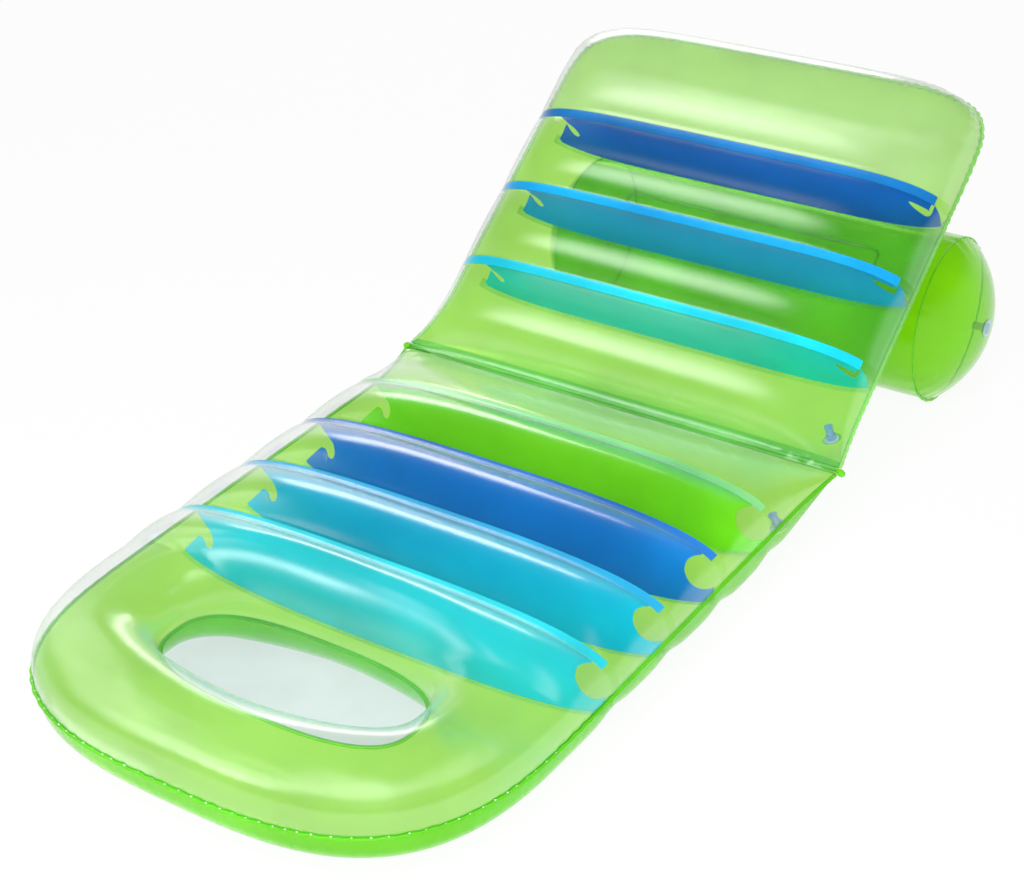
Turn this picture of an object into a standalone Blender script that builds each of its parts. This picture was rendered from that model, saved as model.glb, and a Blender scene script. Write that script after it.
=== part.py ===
"""Inflatable pool lounger.

A seat mat and a back mat are welded from clear film over green film. Coloured webs inside
hold each mat to its tubes, a welded fold joins the mats, and an inflated pillow behind the
back mat props it up. Each chamber has a push-in valve with a stem and a plug.

Lengths are in metres. X runs across the lounger, the foot end points to -Y, the back rises
towards +Y and the floor is at Z = 0. The origin is on the floor under the middle seat tube.
"""
import math

import bmesh
import bpy
import numpy as np
from mathutils import Matrix, Vector

# Films and welds
film = 0.001
gap = 0.0003
weld_width = 0.0045
cut_over = 0.004

# Plan of both mats
mat_half_width = 0.332
fold_flare = 0.013
flare_length = 0.11
crown_height = 0.064
top_bulge = 0.017
bottom_bulge = 0.006
fold_bulge = 0.022
floor_flat = 0.0012

# Seat mat, measured from the fold line towards the foot
seat_first_web = 0.153
seat_web_pitch = 0.1243
foot_length = 0.3851
seat_end_reach = 0.314
seat_fold_rise = 0.0115
foot_crown_height = 0.071

# Oval well at the foot, closed by clear film at seam height
well_to_foot_end = 0.215
well_side = 0.152
well_half_width = 0.0755
well_wall = 0.09

# Back mat, measured from the fold line up the back
back_angle = 35.4
back_first_web = 0.1475
back_web_pitch = 0.130
head_length = 0.1895
back_end_reach = 0.181
back_fold_rise = 0.020
rise_length = 0.12

# Webs
web_side = 0.012
web_flange = 0.014
web_film = 0.001
web_end_clear = 0.002
bite_depth = 0.053
bite_tip = 0.003

# Fold bead
bead_radius = 0.00115
nub_radius = 0.0045
nub_length = 0.007

# Pillow
pillow_radius = 0.119
pillow_left_inset = 0.065
pillow_right_inset = 0.011
pillow_dome = 0.058
pillow_press = 0.010
pillow_flat_inset = 0.039
pillow_fade_inset = 0.012
pillow_lip = 0.004
pillow_touch = 0.0018
patch_inset = 0.089
patch_half_width = 0.026
patch_corner = 0.012

# Valves
valve_flange_width = 0.0052
valve_flange_thickness = 0.0012
valve_wall = 0.001
throat_radius = 0.0078
throat_depth = 0.006
lip_width = 0.0011
stem_wall = 0.0018
stem_length = 0.0192
stem_collar = 0.001
plug_thickness = 0.0015
plug_pin_length = 0.007
seat_valve_side = 0.026
seat_valve_place = 0.087
back_valve_side = 0.035
back_valve_place = 0.061

# Shading, in degrees
sharp_angle = 40

# Shapes of the outlines and crowns
seat_corner_power = 3.0
back_corner_power = 6.0
well_power = 2.75
seat_crown_power = 1 / 3
foot_crown_power = 0.28
back_crown_power = 0.49

# Sizes that follow from those above
fold_half_width = mat_half_width + fold_flare
web_half_length = mat_half_width - web_side
well_half_length = mat_half_width - well_side
pillow_half_length = mat_half_width - (pillow_left_inset + pillow_right_inset) / 2
pillow_shift = (pillow_left_inset - pillow_right_inset) / 2
pillow_flat_reach = pillow_half_length - pillow_flat_inset
pillow_flat_end = pillow_half_length - pillow_fade_inset
patch_half_length = pillow_half_length - patch_inset
valve_flange_radius = throat_radius + valve_flange_width
stem_radius = throat_radius - valve_wall - lip_width - gap
stem_bore = stem_radius - stem_wall
seat_valve_x = mat_half_width - seat_valve_side
back_valve_x = mat_half_width - back_valve_side

# Shares of the sizes that they follow, for the lines that the facets are laid on
web_end_share = web_half_length / mat_half_width
cross_shares = (0.0, 0.3, 0.6, 0.8, 0.9, web_end_share, 1.0)
bay_shares = (0.2, 0.4, 0.6, 0.8)
fold_bay_shares = (0.06, 0.2, 0.42, 0.7)
well_ring_shares = (0.0, 0.08, 0.25, 0.5, 0.75, 0.92, 1.0)
back_end_shares = (0.2, 0.45, 0.7, 0.88, 0.965, 1.0)
foot_angles = (0, 4, 12, 24, 38, 54, 72, 90)
side_share = 0.55
pillow_flat_shares = (0.0, 0.5, 1.0)
dome_shares = (1.0, 0.93, 0.75, 0.5, 0.25)

# Counts
seat_web_count = 4
back_web_count = 3
pillow_sides = 32
valve_sides = 16
bead_sides = 10
corner_steps = 3

# Worked out from the sizes above
skin = gap / 2 + film
fold_clear = bead_radius + gap
bead_end = fold_half_width + weld_width + gap
back_facet = back_web_pitch * bay_shares[0]
fold_edge = fold_clear + weld_width
tilt = math.radians(back_angle)
seat_webs = [seat_first_web + seat_web_pitch * i for i in range(seat_web_count)]
back_webs = [back_first_web + back_web_pitch * i for i in range(back_web_count)]
seat_length = seat_webs[-1] + foot_length
back_length = back_webs[-1] + head_length
well_place = seat_length - well_to_foot_end
seam_height = skin + crown_height + bottom_bulge - floor_flat
fold_height = seam_height + seat_fold_rise
patch_film = film
contact_depth = back_fold_rise + skin + crown_height + pillow_touch
pillow_drop = contact_depth + patch_film + 2 * gap + pillow_radius - pillow_press
pillow_centre_height = pillow_radius - floor_flat
pillow_place = (pillow_centre_height - fold_height + pillow_drop * math.cos(tilt)) / math.sin(tilt)
fold_y = (seat_webs[1] + seat_webs[2]) / 2

# Colours and finishes
GREEN = (0.23, 0.70, 0.02)
CLEAR = (0.86, 0.93, 0.96)
DARK_BLUE = (0.0, 0.13, 0.45)
BLUE = (0.0, 0.44, 0.80)
TURQUOISE = (0.0, 0.70, 0.70)
BACK_BLUE = (0.0, 0.33, 0.62)
BACK_TURQUOISE = (0.0, 0.55, 0.40)
VALVE = (0.30, 0.48, 0.78)
film_roughness = 0.15
valve_roughness = 0.3

# How much of each film the light is stopped by
clear_alpha = 0.25
green_alpha = 0.6
pillow_alpha = 0.7
weld_alpha = 0.8
web_alpha = 0.85
valve_alpha = 0.75


def clear_file():
    """Removes what the file holds before the model is made."""
    for item in list(bpy.data.objects):
        bpy.data.objects.remove(item, do_unlink=True)


def material(name, colour, alpha, roughness):
    """A plain see-through plastic."""
    made = bpy.data.materials.new(name)
    made.use_nodes = True
    shader = made.node_tree.nodes["Principled BSDF"]
    shader.inputs["Base Color"].default_value = (*colour, 1.0)
    shader.inputs["Alpha"].default_value = alpha
    shader.inputs["Roughness"].default_value = roughness
    shader.inputs["Metallic"].default_value = 0.0
    made.diffuse_color = (*colour, alpha)
    return made


def add_object(name, mesh_or_bmesh, look, parent=None):
    """Links one named piece, with its own material, to the scene."""
    if isinstance(mesh_or_bmesh, bmesh.types.BMesh):
        mesh = bpy.data.meshes.new(name)
        mesh_or_bmesh.to_mesh(mesh)
        mesh_or_bmesh.free()
    else:
        mesh = mesh_or_bmesh
    mesh.materials.append(material(name, *look))
    mesh.shade_smooth()
    mesh.set_sharp_from_angle(angle=math.radians(sharp_angle))
    piece = bpy.data.objects.new(name, mesh)
    bpy.context.collection.objects.link(piece)
    piece.parent = parent
    return piece


def add_empty(name, matrix, parent=None):
    """A placing frame, such as a joint's axis."""
    empty = bpy.data.objects.new(name, None)
    bpy.context.collection.objects.link(empty)
    empty.parent = parent
    empty.matrix_local = matrix
    return empty


def add_boolean(piece, other, operation):
    """Cuts or joins with another object, which is then only a guide."""
    step = piece.modifiers.new(operation.lower(), "BOOLEAN")
    step.operation = operation
    step.solver = "EXACT"
    step.object = other
    other.hide_render = True
    other.display_type = "WIRE"


class Mat:
    """The plan and the crown of one air chamber. v runs away from the fold."""

    def __init__(self, length, reach, power, crown_powers, webs, rise, end_crown):
        self.length = length
        self.reach = reach
        self.start = length - reach
        self.power = power
        self.crown_powers = crown_powers
        self.webs = webs
        self.rise = rise
        self.end_crown = end_crown

    def half_width(self, v):
        """Seam to middle where the sides are straight, wider at the flat fold weld."""
        left = max(0.0, 1 - v / flare_length)
        return mat_half_width + (fold_half_width - mat_half_width) * left ** 2

    def edge_share(self, x, v):
        """1 in the middle of the mat and 0 on its seam."""
        past = max(0.0, v - self.start) / self.reach
        share = 1 - abs(x / self.half_width(v)) ** self.power - past ** self.power
        return max(0.0, share)

    def lift(self, v):
        """How far the seam rises towards the fold."""
        return self.rise * max(0.0, 1 - v / rise_length) ** 2

    def crown(self, x, v, bulge):
        """Height of the film above the seam, with the given bulge between webs."""
        fill = min(1.0, max(0.0, (v - self.webs[-1]) / self.reach))
        first, last = self.crown_powers
        fullness = self.edge_share(x, v) ** (first + (last - first) * fill)
        height = (crown_height + (self.end_crown - crown_height) * fill) * fullness
        half = web_flange / 2
        edges = [fold_edge] + [edge for web in self.webs for edge in (web - half, web + half)]
        if v < edges[1]:
            share = (v - edges[0]) / (edges[1] - edges[0])
            return height * share + fold_bulge * fullness * 4 * share * (1 - share)
        for low, high in zip(edges[2::2], edges[3::2] + [self.bulge_end()]):
            if low < v < high:
                share = (v - low) / (high - low)
                return height + bulge * fullness * 4 * share * (1 - share)
        return height

    def bulge_end(self):
        """Where the last tube's own bulge dies out."""
        return self.length

    def rows(self):
        """Places of the facet lines from the fold to the last web's far edge."""
        half = web_flange / 2
        rows = [fold_edge]
        low = fold_edge
        shares = fold_bay_shares
        for web in self.webs:
            rows += [low + (web - half - low) * share for share in shares]
            rows += [web - half, web + half]
            low = web + half
            shares = bay_shares
        return rows


class SeatMat(Mat):
    """The seat mat's crown also dips to the seam round the oval well."""

    def well_distance(self, x, v):
        """Distance from the well's seam, along the line from its middle."""
        offset = np.array([x, v - well_place])
        scaled = np.abs(offset / np.array([well_half_length, well_half_width]))
        ring = (scaled ** well_power).sum() ** (1 / well_power)
        return float(np.linalg.norm(offset) * (1 - 1 / ring)) if ring > 1 else 0.0

    def crown(self, x, v, bulge):
        near = min(1.0, self.well_distance(x, v) / well_wall)
        return super().crown(x, v, bulge) * math.sqrt(1 - (1 - near) ** 2)

    def bulge_end(self):
        return well_place - well_half_width


seat = SeatMat(seat_length, seat_end_reach, seat_corner_power,
               (seat_crown_power, foot_crown_power), seat_webs, seat_fold_rise, foot_crown_height)
back = Mat(back_length, back_end_reach, back_corner_power,
           (back_crown_power, back_crown_power), back_webs, back_fold_rise, crown_height)


def pillow_reach(x, along):
    """Distance of the pillow's outside from its axis, measured square to the back mat."""
    fade = (pillow_flat_end - abs(x - pillow_shift)) / (pillow_flat_end - pillow_flat_reach)
    fade = min(1.0, max(0.0, fade))
    round_reach = math.sqrt(max(0.0, pillow_radius ** 2 - along ** 2))
    return min(round_reach, pillow_radius - pillow_press * fade)


def seat_top(x, v):
    """Outside of the seat's clear sheet, above the seam plane."""
    return skin + seat.crown(x, v, top_bulge) + seat.lift(v)


def seat_bottom(x, v):
    """Outside of the seat's green sheet, cut flat where it meets the floor."""
    return max(-seam_height, seat.lift(v) - skin - seat.crown(x, v, bottom_bulge))


def back_top(x, v):
    """Outside of the back's clear sheet, from the plane through the fold."""
    return back.lift(v) - back_fold_rise + skin + back.crown(x, v, top_bulge)


def back_bottom(x, v):
    """Outside of the back's green sheet, pressed flat where the pillow bears on it."""
    free = back.lift(v) - back_fold_rise - skin - back.crown(x, v, bottom_bulge)
    along = max(0.0, abs(v - pillow_place) - back_facet)
    if along > pillow_radius or abs(x - pillow_shift) > pillow_half_length:
        return free
    pressed = pillow_reach(x, along) + patch_film + 2 * gap - pillow_drop
    return max(free, pressed)


def stations(half_width):
    """Places across the mat, finer towards its seams."""
    right = [share * half_width for share in cross_shares]
    return [-x for x in right[:0:-1]] + right


def add_grid(mesh, lines):
    """Faces between equally long lines of vertices."""
    for first, second in zip(lines, lines[1:]):
        for i in range(len(first) - 1):
            mesh.faces.new((first[i], first[i + 1], second[i + 1], second[i]))


def add_weld_rim(mesh):
    """A flat flange outwards from every open edge of a sheet, at the edge's own height."""
    outward = {}
    edges = [edge for edge in mesh.edges if len(edge.link_faces) == 1]
    for edge in edges:
        start, end = (vert.co for vert in edge.verts)
        side = Vector((end.y - start.y, start.x - end.x, 0.0)).normalized()
        middle = edge.link_faces[0].calc_center_median()
        if side.dot((start + end) / 2 - middle) < 0:
            side.negate()
        for vert in edge.verts:
            outward.setdefault(vert, []).append(side)
    rim = {}
    for vert, (first, second) in outward.items():
        step = (first + second) / (1 + first.dot(second))
        rim[vert] = mesh.verts.new(vert.co + step * weld_width)
    for edge in edges:
        start, end = edge.verts
        mesh.faces.new((start, end, rim[end], rim[start]))


def finish_sheet(name, mesh, up, look, parent):
    """Turns an open sheet's faces outwards and gives it the film's thickness."""
    bmesh.ops.recalc_face_normals(mesh, faces=mesh.faces)
    mesh.faces.ensure_lookup_table()
    widest = max(mesh.faces, key=lambda face: abs(face.normal.z) * face.calc_area())
    if (widest.normal.z > 0) != up:
        bmesh.ops.reverse_faces(mesh, faces=mesh.faces)
    sheet = add_object(name, mesh, look, parent)
    step = sheet.modifiers.new("film", "SOLIDIFY")
    step.solidify_mode = "NON_MANIFOLD"
    step.nonmanifold_thickness_mode = "CONSTRAINTS"
    step.nonmanifold_merge_threshold = film / 100
    step.thickness = film
    step.offset = -1
    return sheet


def seat_sheet(name, height, has_window, look):
    """The seat's clear or green sheet, with the ring round the oval well."""
    mesh = bmesh.new()

    def vertex(x, v):
        return mesh.verts.new((x, fold_y - v, seam_height + height(x, v)))

    lines = [[vertex(x, v) for x in stations(seat.half_width(v))] for v in seat.rows()]
    add_grid(mesh, lines)
    far = lines[-1]
    far_place = seat.rows()[-1]
    side_place = far_place + (seat.start - far_place) * side_share
    corner = [(mat_half_width, side_place)]
    for angle in foot_angles:
        turn = math.radians(angle)
        across = mat_half_width * abs(math.cos(turn)) ** (2 / seat_corner_power)
        corner.append((across, seat.start + seat_end_reach * math.sin(turn) ** (2 / seat_corner_power)))
    corner[-1] = (0.0, seat_length)
    curve = corner + [(-x, v) for x, v in corner[-2::-1]]
    spokes = [(vert.co.x, far_place, vert) for vert in far]
    spokes += [(x, v, None) for x, v in curve]
    rings = []
    for x, v, vert in spokes:
        offset = np.array([x, v - well_place])
        scaled = np.abs(offset / np.array([well_half_length, well_half_width]))
        inner = offset / (scaled ** well_power).sum() ** (1 / well_power)
        line = []
        for share in well_ring_shares:
            if vert is not None and share == 1:
                line.append(vert)
                continue
            place = inner + (offset - inner) * share
            line.append(vertex(place[0], well_place + place[1]))
        rings.append(line)
    add_grid(mesh, rings + rings[:1])
    if has_window:
        mesh.faces.new([line[0] for line in rings])
    add_weld_rim(mesh)
    return finish_sheet(name, mesh, has_window, look, None)


def back_sheet(name, height, is_top, look, parent):
    """The back's clear or green sheet, with rounded top corners."""
    mesh = bmesh.new()
    rows = back.rows()
    rows += [rows[-1] + (back_length - rows[-1]) * share for share in back_end_shares]
    lines = []
    for v in rows:
        line = []
        for x in stations(back.half_width(v)):
            place = v
            past = (v - back.start) / back_end_reach
            if past > 0:
                across = abs(x) / mat_half_width
                largest = max(across, past)
                norm = (across / largest) ** back_corner_power + (past / largest) ** back_corner_power
                shrink = norm ** (-1 / back_corner_power)
                x *= shrink
                place = back.start + (v - back.start) * shrink
            line.append(mesh.verts.new((x, place, height(x, place))))
        lines.append(line)
    add_grid(mesh, lines)
    add_weld_rim(mesh)
    return finish_sheet(name, mesh, is_top, look, parent)


def bite_outline(end_x, top, bottom):
    """The hooked notch in a web's end, from under its top flange to its lower corner."""
    tip_height = top - bottom
    across_shares = (0.50, 0.80, 0.96, 1.00, 0.97, 0.90, 0.81, 0.735, 0.725, 0.68, 0.585, 0.49)
    down_shares = (0.0, 0.10, 0.25, 0.42, 0.56, 0.67, 0.70, 0.655, 0.58, 0.49, 0.47, 0.52)
    points = []
    for across, down in zip(across_shares, down_shares):
        points.append((end_x - bite_depth * across, top - tip_height * down))
    points.append((end_x, bottom + bite_tip))
    return points


def web_line(mat, place, x):
    """Outer face of a web's flange: just inside the film that it is welded to."""
    inside = skin + mat.crown(x, place, 0.0) - film - gap
    slope = (mat.crown(abs(x) + film, place, 0.0) - mat.crown(abs(x) - film, place, 0.0)) / (2 * film)
    clear = (film + gap) * (math.sqrt(1 + slope ** 2) - 1)
    return inside - clear


def add_web(name, mat, place, centre, look, parent):
    """One web: a bitten plate between two flange strips, about a centre on the seam plane."""
    places = stations(mat_half_width)[1:-1]
    tops = [web_line(mat, place, x) for x in places]
    end_x = web_half_length - web_end_clear
    end_top = float(np.interp(end_x, places, tops))
    places = [-end_x] + places[1:-1] + [end_x]
    tops = [end_top] + tops[1:-1] + [end_top]
    bottoms = [-z for z in tops]
    half = web_film / 2
    edge = web_flange / 2

    def strip(outer, inward):
        mesh = bmesh.new()
        lines = []
        for x, z in zip(places, outer):
            corners = ((-edge, 0), (edge, 0), (edge, inward), (-edge, inward))
            lines.append([mesh.verts.new(centre + Vector((x, dy, z + dz))) for dy, dz in corners])
        for first, second in zip(lines, lines[1:]):
            for i in range(4):
                j = (i + 1) % 4
                mesh.faces.new((first[i], first[j], second[j], second[i]))
        mesh.faces.new(lines[0])
        mesh.faces.new(lines[-1])
        bmesh.ops.recalc_face_normals(mesh, faces=mesh.faces)
        return mesh

    right = bite_outline(end_x, tops[-1] - half, bottoms[-1] + half)
    inner_x = end_x - bite_depth / 2
    inner_top = float(np.interp(inner_x, places, tops)) - half
    right[0] = (inner_x, inner_top)
    outline = list(right)
    outline.append((end_x, bottoms[-1] + half))
    outline += [(x, z + half) for x, z in list(zip(places, bottoms))[-2:0:-1]]
    outline.append((-end_x, bottoms[0] + half))
    outline += [(-x, z) for x, z in right[::-1]]
    outline += [(x, z - half) for x, z in zip(places, tops) if abs(x) < inner_x - half]
    plate = bmesh.new()
    near = [plate.verts.new(centre + Vector((x, -half, z))) for x, z in outline]
    far = [plate.verts.new(centre + Vector((x, half, z))) for x, z in outline]
    plate.faces.new(near)
    plate.faces.new(far[::-1])
    for i in range(len(near)):
        j = (i + 1) % len(near)
        plate.faces.new((near[i], near[j], far[j], far[i]))
    bmesh.ops.recalc_face_normals(plate, faces=plate.faces)
    web = add_object(name, plate, look, parent)
    for part, outer, inward in (("top_guide", tops, -web_film), ("bottom_guide", bottoms, web_film)):
        guide = add_object(name + "_" + part, strip(outer, inward), look, parent)
        add_boolean(web, guide, "UNION")
    return web


def add_fold_bead():
    """The rolled line of both films that the mats fold about, with a nub at each end."""
    mesh = bmesh.new()
    profile = [(bead_end, bead_radius), (bead_end, nub_radius), (bead_end + nub_length, nub_radius)]
    profile = [(-x, radius) for x, radius in profile[::-1]] + profile
    turns = [2 * math.pi * i / bead_sides for i in range(bead_sides)]
    lines = []
    for x, radius in profile:
        lines.append([mesh.verts.new((x, radius * math.cos(t), radius * math.sin(t))) for t in turns])
    add_grid(mesh, [line + line[:1] for line in lines])
    mesh.faces.new(lines[0])
    mesh.faces.new(lines[-1])
    bmesh.ops.recalc_face_normals(mesh, faces=mesh.faces)
    bead = add_object("fold_bead", mesh, (GREEN, weld_alpha, film_roughness))
    bead.location = (0.0, fold_y, fold_height)
    return bead


def pillow_point(x, radius, turn):
    """A point of the pillow's outside in the back mat's frame. turn is from straight down."""
    down = turn - tilt
    along = radius * math.sin(down)
    height = -radius * math.cos(down)
    if height > 0:
        height = min(height, pillow_reach(x, along))
    low = -pillow_centre_height
    world = along * math.sin(tilt) + height * math.cos(tilt)
    if world < low:
        along += (low - world) * math.sin(tilt)
        height += (low - world) * math.cos(tilt)
    return (x, pillow_place + along, height - pillow_drop)


def pillow_turns():
    """Angles round the pillow, with one facet centred on the floor."""
    return [2 * math.pi * (i + 0.5) / pillow_sides for i in range(pillow_sides)]


def solidify(piece):
    """Gives an open pillow sheet the film's thickness, inwards."""
    step = piece.modifiers.new("film", "SOLIDIFY")
    step.thickness = film
    step.offset = -1
    step.use_even_offset = True


def add_pillow(parent):
    """The pillow's wall, its two domed ends and the patch that welds it to the back."""
    mesh = bmesh.new()
    lines = []
    right = [share * pillow_flat_reach for share in pillow_flat_shares]
    right += [pillow_flat_end, pillow_half_length - pillow_lip - gap]
    for x in [-x for x in right[:0:-1]] + right:
        x += pillow_shift
        lines.append([mesh.verts.new(pillow_point(x, pillow_radius, turn)) for turn in pillow_turns()])
    add_grid(mesh, [line + line[:1] for line in lines])
    bmesh.ops.recalc_face_normals(mesh, faces=mesh.faces)
    middle = Vector((pillow_shift, pillow_place, -pillow_drop))
    mesh.faces.ensure_lookup_table()
    face = mesh.faces[0]
    if face.normal.dot(face.calc_center_median() - middle) < 0:
        bmesh.ops.reverse_faces(mesh, faces=mesh.faces)
    solidify(add_object("pillow_wall", mesh, (GREEN, pillow_alpha, film_roughness), parent))
    ball = (pillow_radius ** 2 + pillow_dome ** 2) / (2 * pillow_dome)
    for side, name in ((-1, "pillow_end_left"), (1, "pillow_end_right")):
        mesh = bmesh.new()
        lines = []
        stops = [(pillow_half_length - pillow_lip, pillow_radius)]
        for share in dome_shares:
            radius = pillow_radius * share
            rise = math.sqrt(ball ** 2 - radius ** 2) - ball + pillow_dome
            stops.append((pillow_half_length + rise, radius))
        for x, radius in stops:
            x = pillow_shift + side * x
            lines.append([mesh.verts.new(pillow_point(x, radius, turn)) for turn in pillow_turns()])
        end_x = pillow_shift + side * (pillow_half_length + pillow_dome)
        apex = mesh.verts.new((end_x, pillow_place, -pillow_drop))
        add_grid(mesh, [line + line[:1] for line in lines])
        for i in range(pillow_sides):
            mesh.faces.new((lines[-1][i], lines[-1][(i + 1) % pillow_sides], apex))
        bmesh.ops.recalc_face_normals(mesh, faces=mesh.faces)
        mesh.faces.ensure_lookup_table()
        if mesh.faces[-1].normal.x * side < 0:
            bmesh.ops.reverse_faces(mesh, faces=mesh.faces)
        solidify(add_object(name, mesh, (GREEN, pillow_alpha, film_roughness), parent))
    mesh = bmesh.new()
    top = pillow_radius - pillow_press + gap + patch_film - pillow_drop
    loops = []
    for height in (top, top - patch_film):
        loop = []
        for quarter, (sx, sy) in enumerate(((1, 1), (-1, 1), (-1, -1), (1, -1))):
            for step in range(corner_steps + 1):
                turn = math.pi / 2 * (quarter + step / corner_steps)
                x = sx * (patch_half_length - patch_corner) + patch_corner * math.cos(turn)
                y = sy * (patch_half_width - patch_corner) + patch_corner * math.sin(turn)
                loop.append(mesh.verts.new((pillow_shift + x, pillow_place + y, height)))
        loops.append(loop)
    mesh.faces.new(loops[0])
    mesh.faces.new(loops[1][::-1])
    for i in range(len(loops[0])):
        j = (i + 1) % len(loops[0])
        mesh.faces.new((loops[1][i], loops[1][j], loops[0][j], loops[0][i]))
    bmesh.ops.recalc_face_normals(mesh, faces=mesh.faces)
    add_object("pillow_weld_patch", mesh, (GREEN, weld_alpha, film_roughness), parent)


def turned(name, profile, closed, look, parent):
    """A round piece from a profile of radius and height. A closed profile is a ring."""
    mesh = bmesh.new()
    verts = [mesh.verts.new((radius, 0.0, height)) for radius, height in profile]
    edges = [mesh.edges.new(pair) for pair in zip(verts, verts[1:])]
    if closed:
        edges.append(mesh.edges.new((verts[-1], verts[0])))
    bmesh.ops.spin(mesh, geom=verts + edges, cent=(0, 0, 0), axis=(0, 0, 1), angle=2 * math.pi,
                   steps=valve_sides, use_merge=True)
    bmesh.ops.remove_doubles(mesh, verts=mesh.verts, dist=film / 100)
    bmesh.ops.recalc_face_normals(mesh, faces=mesh.faces)
    return add_object(name, mesh, look, parent)


def add_valve(prefix, sheet, frame):
    """Base, stem and plug of one push-in valve. frame's Z points out of the chamber."""
    lip_radius = stem_radius + gap
    throat_inside = throat_radius - valve_wall
    top = gap + valve_flange_thickness
    look = (VALVE, valve_alpha, valve_roughness)
    base = ((valve_flange_radius, gap), (valve_flange_radius, top), (throat_inside, top),
            (throat_inside, valve_wall - throat_depth), (lip_radius, valve_wall - throat_depth),
            (lip_radius, -throat_depth), (throat_radius, -throat_depth), (throat_radius, gap))
    turned(prefix + "_valve_base", base, True, look, frame)
    stem_top = top - plug_thickness - gap
    stem_low = stem_top - stem_length
    collar_radius = stem_radius + stem_collar
    flap = stem_low + valve_wall
    stem = ((0.0, stem_low), (collar_radius, stem_low), (collar_radius, flap), (stem_radius, flap),
            (stem_radius, stem_top), (stem_bore, stem_top), (stem_bore, flap), (0.0, flap))
    turned(prefix + "_valve_stem", stem, False, look, frame)
    pin = stem_bore - gap
    pin_end = stem_top - plug_pin_length
    head_low = stem_top + gap
    head_radius = throat_inside - 2 * gap
    plug = ((0.0, pin_end), (pin, pin_end), (pin, head_low), (head_radius, head_low),
            (head_radius, top), (0.0, top))
    turned(prefix + "_valve_plug", plug, False, look, frame)
    cutter = bpy.data.meshes.new(prefix + "_valve_cutter")
    mesh = bmesh.new()
    hole = throat_radius + gap
    bmesh.ops.create_cone(mesh, cap_ends=True, segments=valve_sides, radius1=hole, radius2=hole,
                          depth=2 * throat_depth + cut_over)
    mesh.to_mesh(cutter)
    mesh.free()
    guide = bpy.data.objects.new(prefix + "_valve_cutter", cutter)
    bpy.context.collection.objects.link(guide)
    guide.parent = frame
    add_boolean(sheet, guide, "DIFFERENCE")


def frame_on(point, normal):
    """A frame at a point, with Z along the normal."""
    return Matrix.Translation(point) @ Vector(normal).to_track_quat("Z", "Y").to_matrix().to_4x4()


def surface_normal(height, x, v):
    """Outward normal of a lower sheet at x, v, in a frame whose second axis is v."""
    slope_x = (height(x + film, v) - height(x - film, v)) / (2 * film)
    slope_v = (height(x, v + film) - height(x, v - film)) / (2 * film)
    return Vector((slope_x, slope_v, -1.0)).normalized()


def build():
    clear_file()
    clear_look = (CLEAR, clear_alpha, film_roughness)
    green_look = (GREEN, green_alpha, film_roughness)
    seat_sheet("seat_top_sheet", seat_top, True, clear_look)
    seat_low = seat_sheet("seat_bottom_sheet", seat_bottom, False, green_look)
    hinge = Matrix.Translation((0.0, fold_y, fold_height))
    fold = add_empty("fold_axis", hinge @ Matrix.Rotation(tilt, 4, "X"))
    back_sheet("back_top_sheet", back_top, True, clear_look, fold)
    back_low = back_sheet("back_bottom_sheet", back_bottom, False, green_look, fold)

    def on_seat(v):
        return Vector((0.0, fold_y - v, seam_height))

    def on_back(v):
        return Vector((0.0, v, -back_fold_rise))

    seat_names = ("green", "dark_blue", "blue", "turquoise")
    for name, colour, place in zip(seat_names, (GREEN, DARK_BLUE, BLUE, TURQUOISE), seat_webs):
        look = (colour, web_alpha, film_roughness)
        add_web("seat_web_" + name, seat, place, on_seat(place), look, None)
    back_names = ("turquoise", "blue", "dark_blue")
    for name, colour, place in zip(back_names, (BACK_TURQUOISE, BACK_BLUE, DARK_BLUE), back_webs):
        look = (colour, web_alpha, film_roughness)
        add_web("back_web_" + name, back, place, on_back(place), look, fold)
    add_fold_bead()
    add_pillow(fold)

    normal = surface_normal(seat_bottom, seat_valve_x, seat_valve_place)
    height = seam_height + seat_bottom(seat_valve_x, seat_valve_place)
    point = (seat_valve_x, fold_y - seat_valve_place, height)
    out = (normal.x, -normal.y, normal.z)
    add_valve("seat", seat_low, add_empty("seat_valve_axis", frame_on(point, out)))
    normal = surface_normal(back_bottom, back_valve_x, back_valve_place)
    point = (back_valve_x, back_valve_place, back_bottom(back_valve_x, back_valve_place))
    add_valve("back", back_low, add_empty("back_valve_axis", frame_on(point, normal), fold))
    point = (pillow_shift + pillow_half_length + pillow_dome, pillow_place, -pillow_drop)
    end = bpy.data.objects["pillow_end_right"]
    add_valve("pillow", end, add_empty("pillow_valve_axis", frame_on(point, (1, 0, 0)), fold))


build()
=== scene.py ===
"""Inflatable pool lounger: the visible pieces, their looks, the studio and the camera.

Lengths are in metres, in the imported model's frame: X across the lounger, the foot end
towards -Y, the back rising towards +Y, and the floor at Z = 0.
"""
import math

import bmesh
import bpy
import numpy as np
from mathutils import Matrix, Vector
from mathutils.geometry import delaunay_2d_cdt


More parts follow.
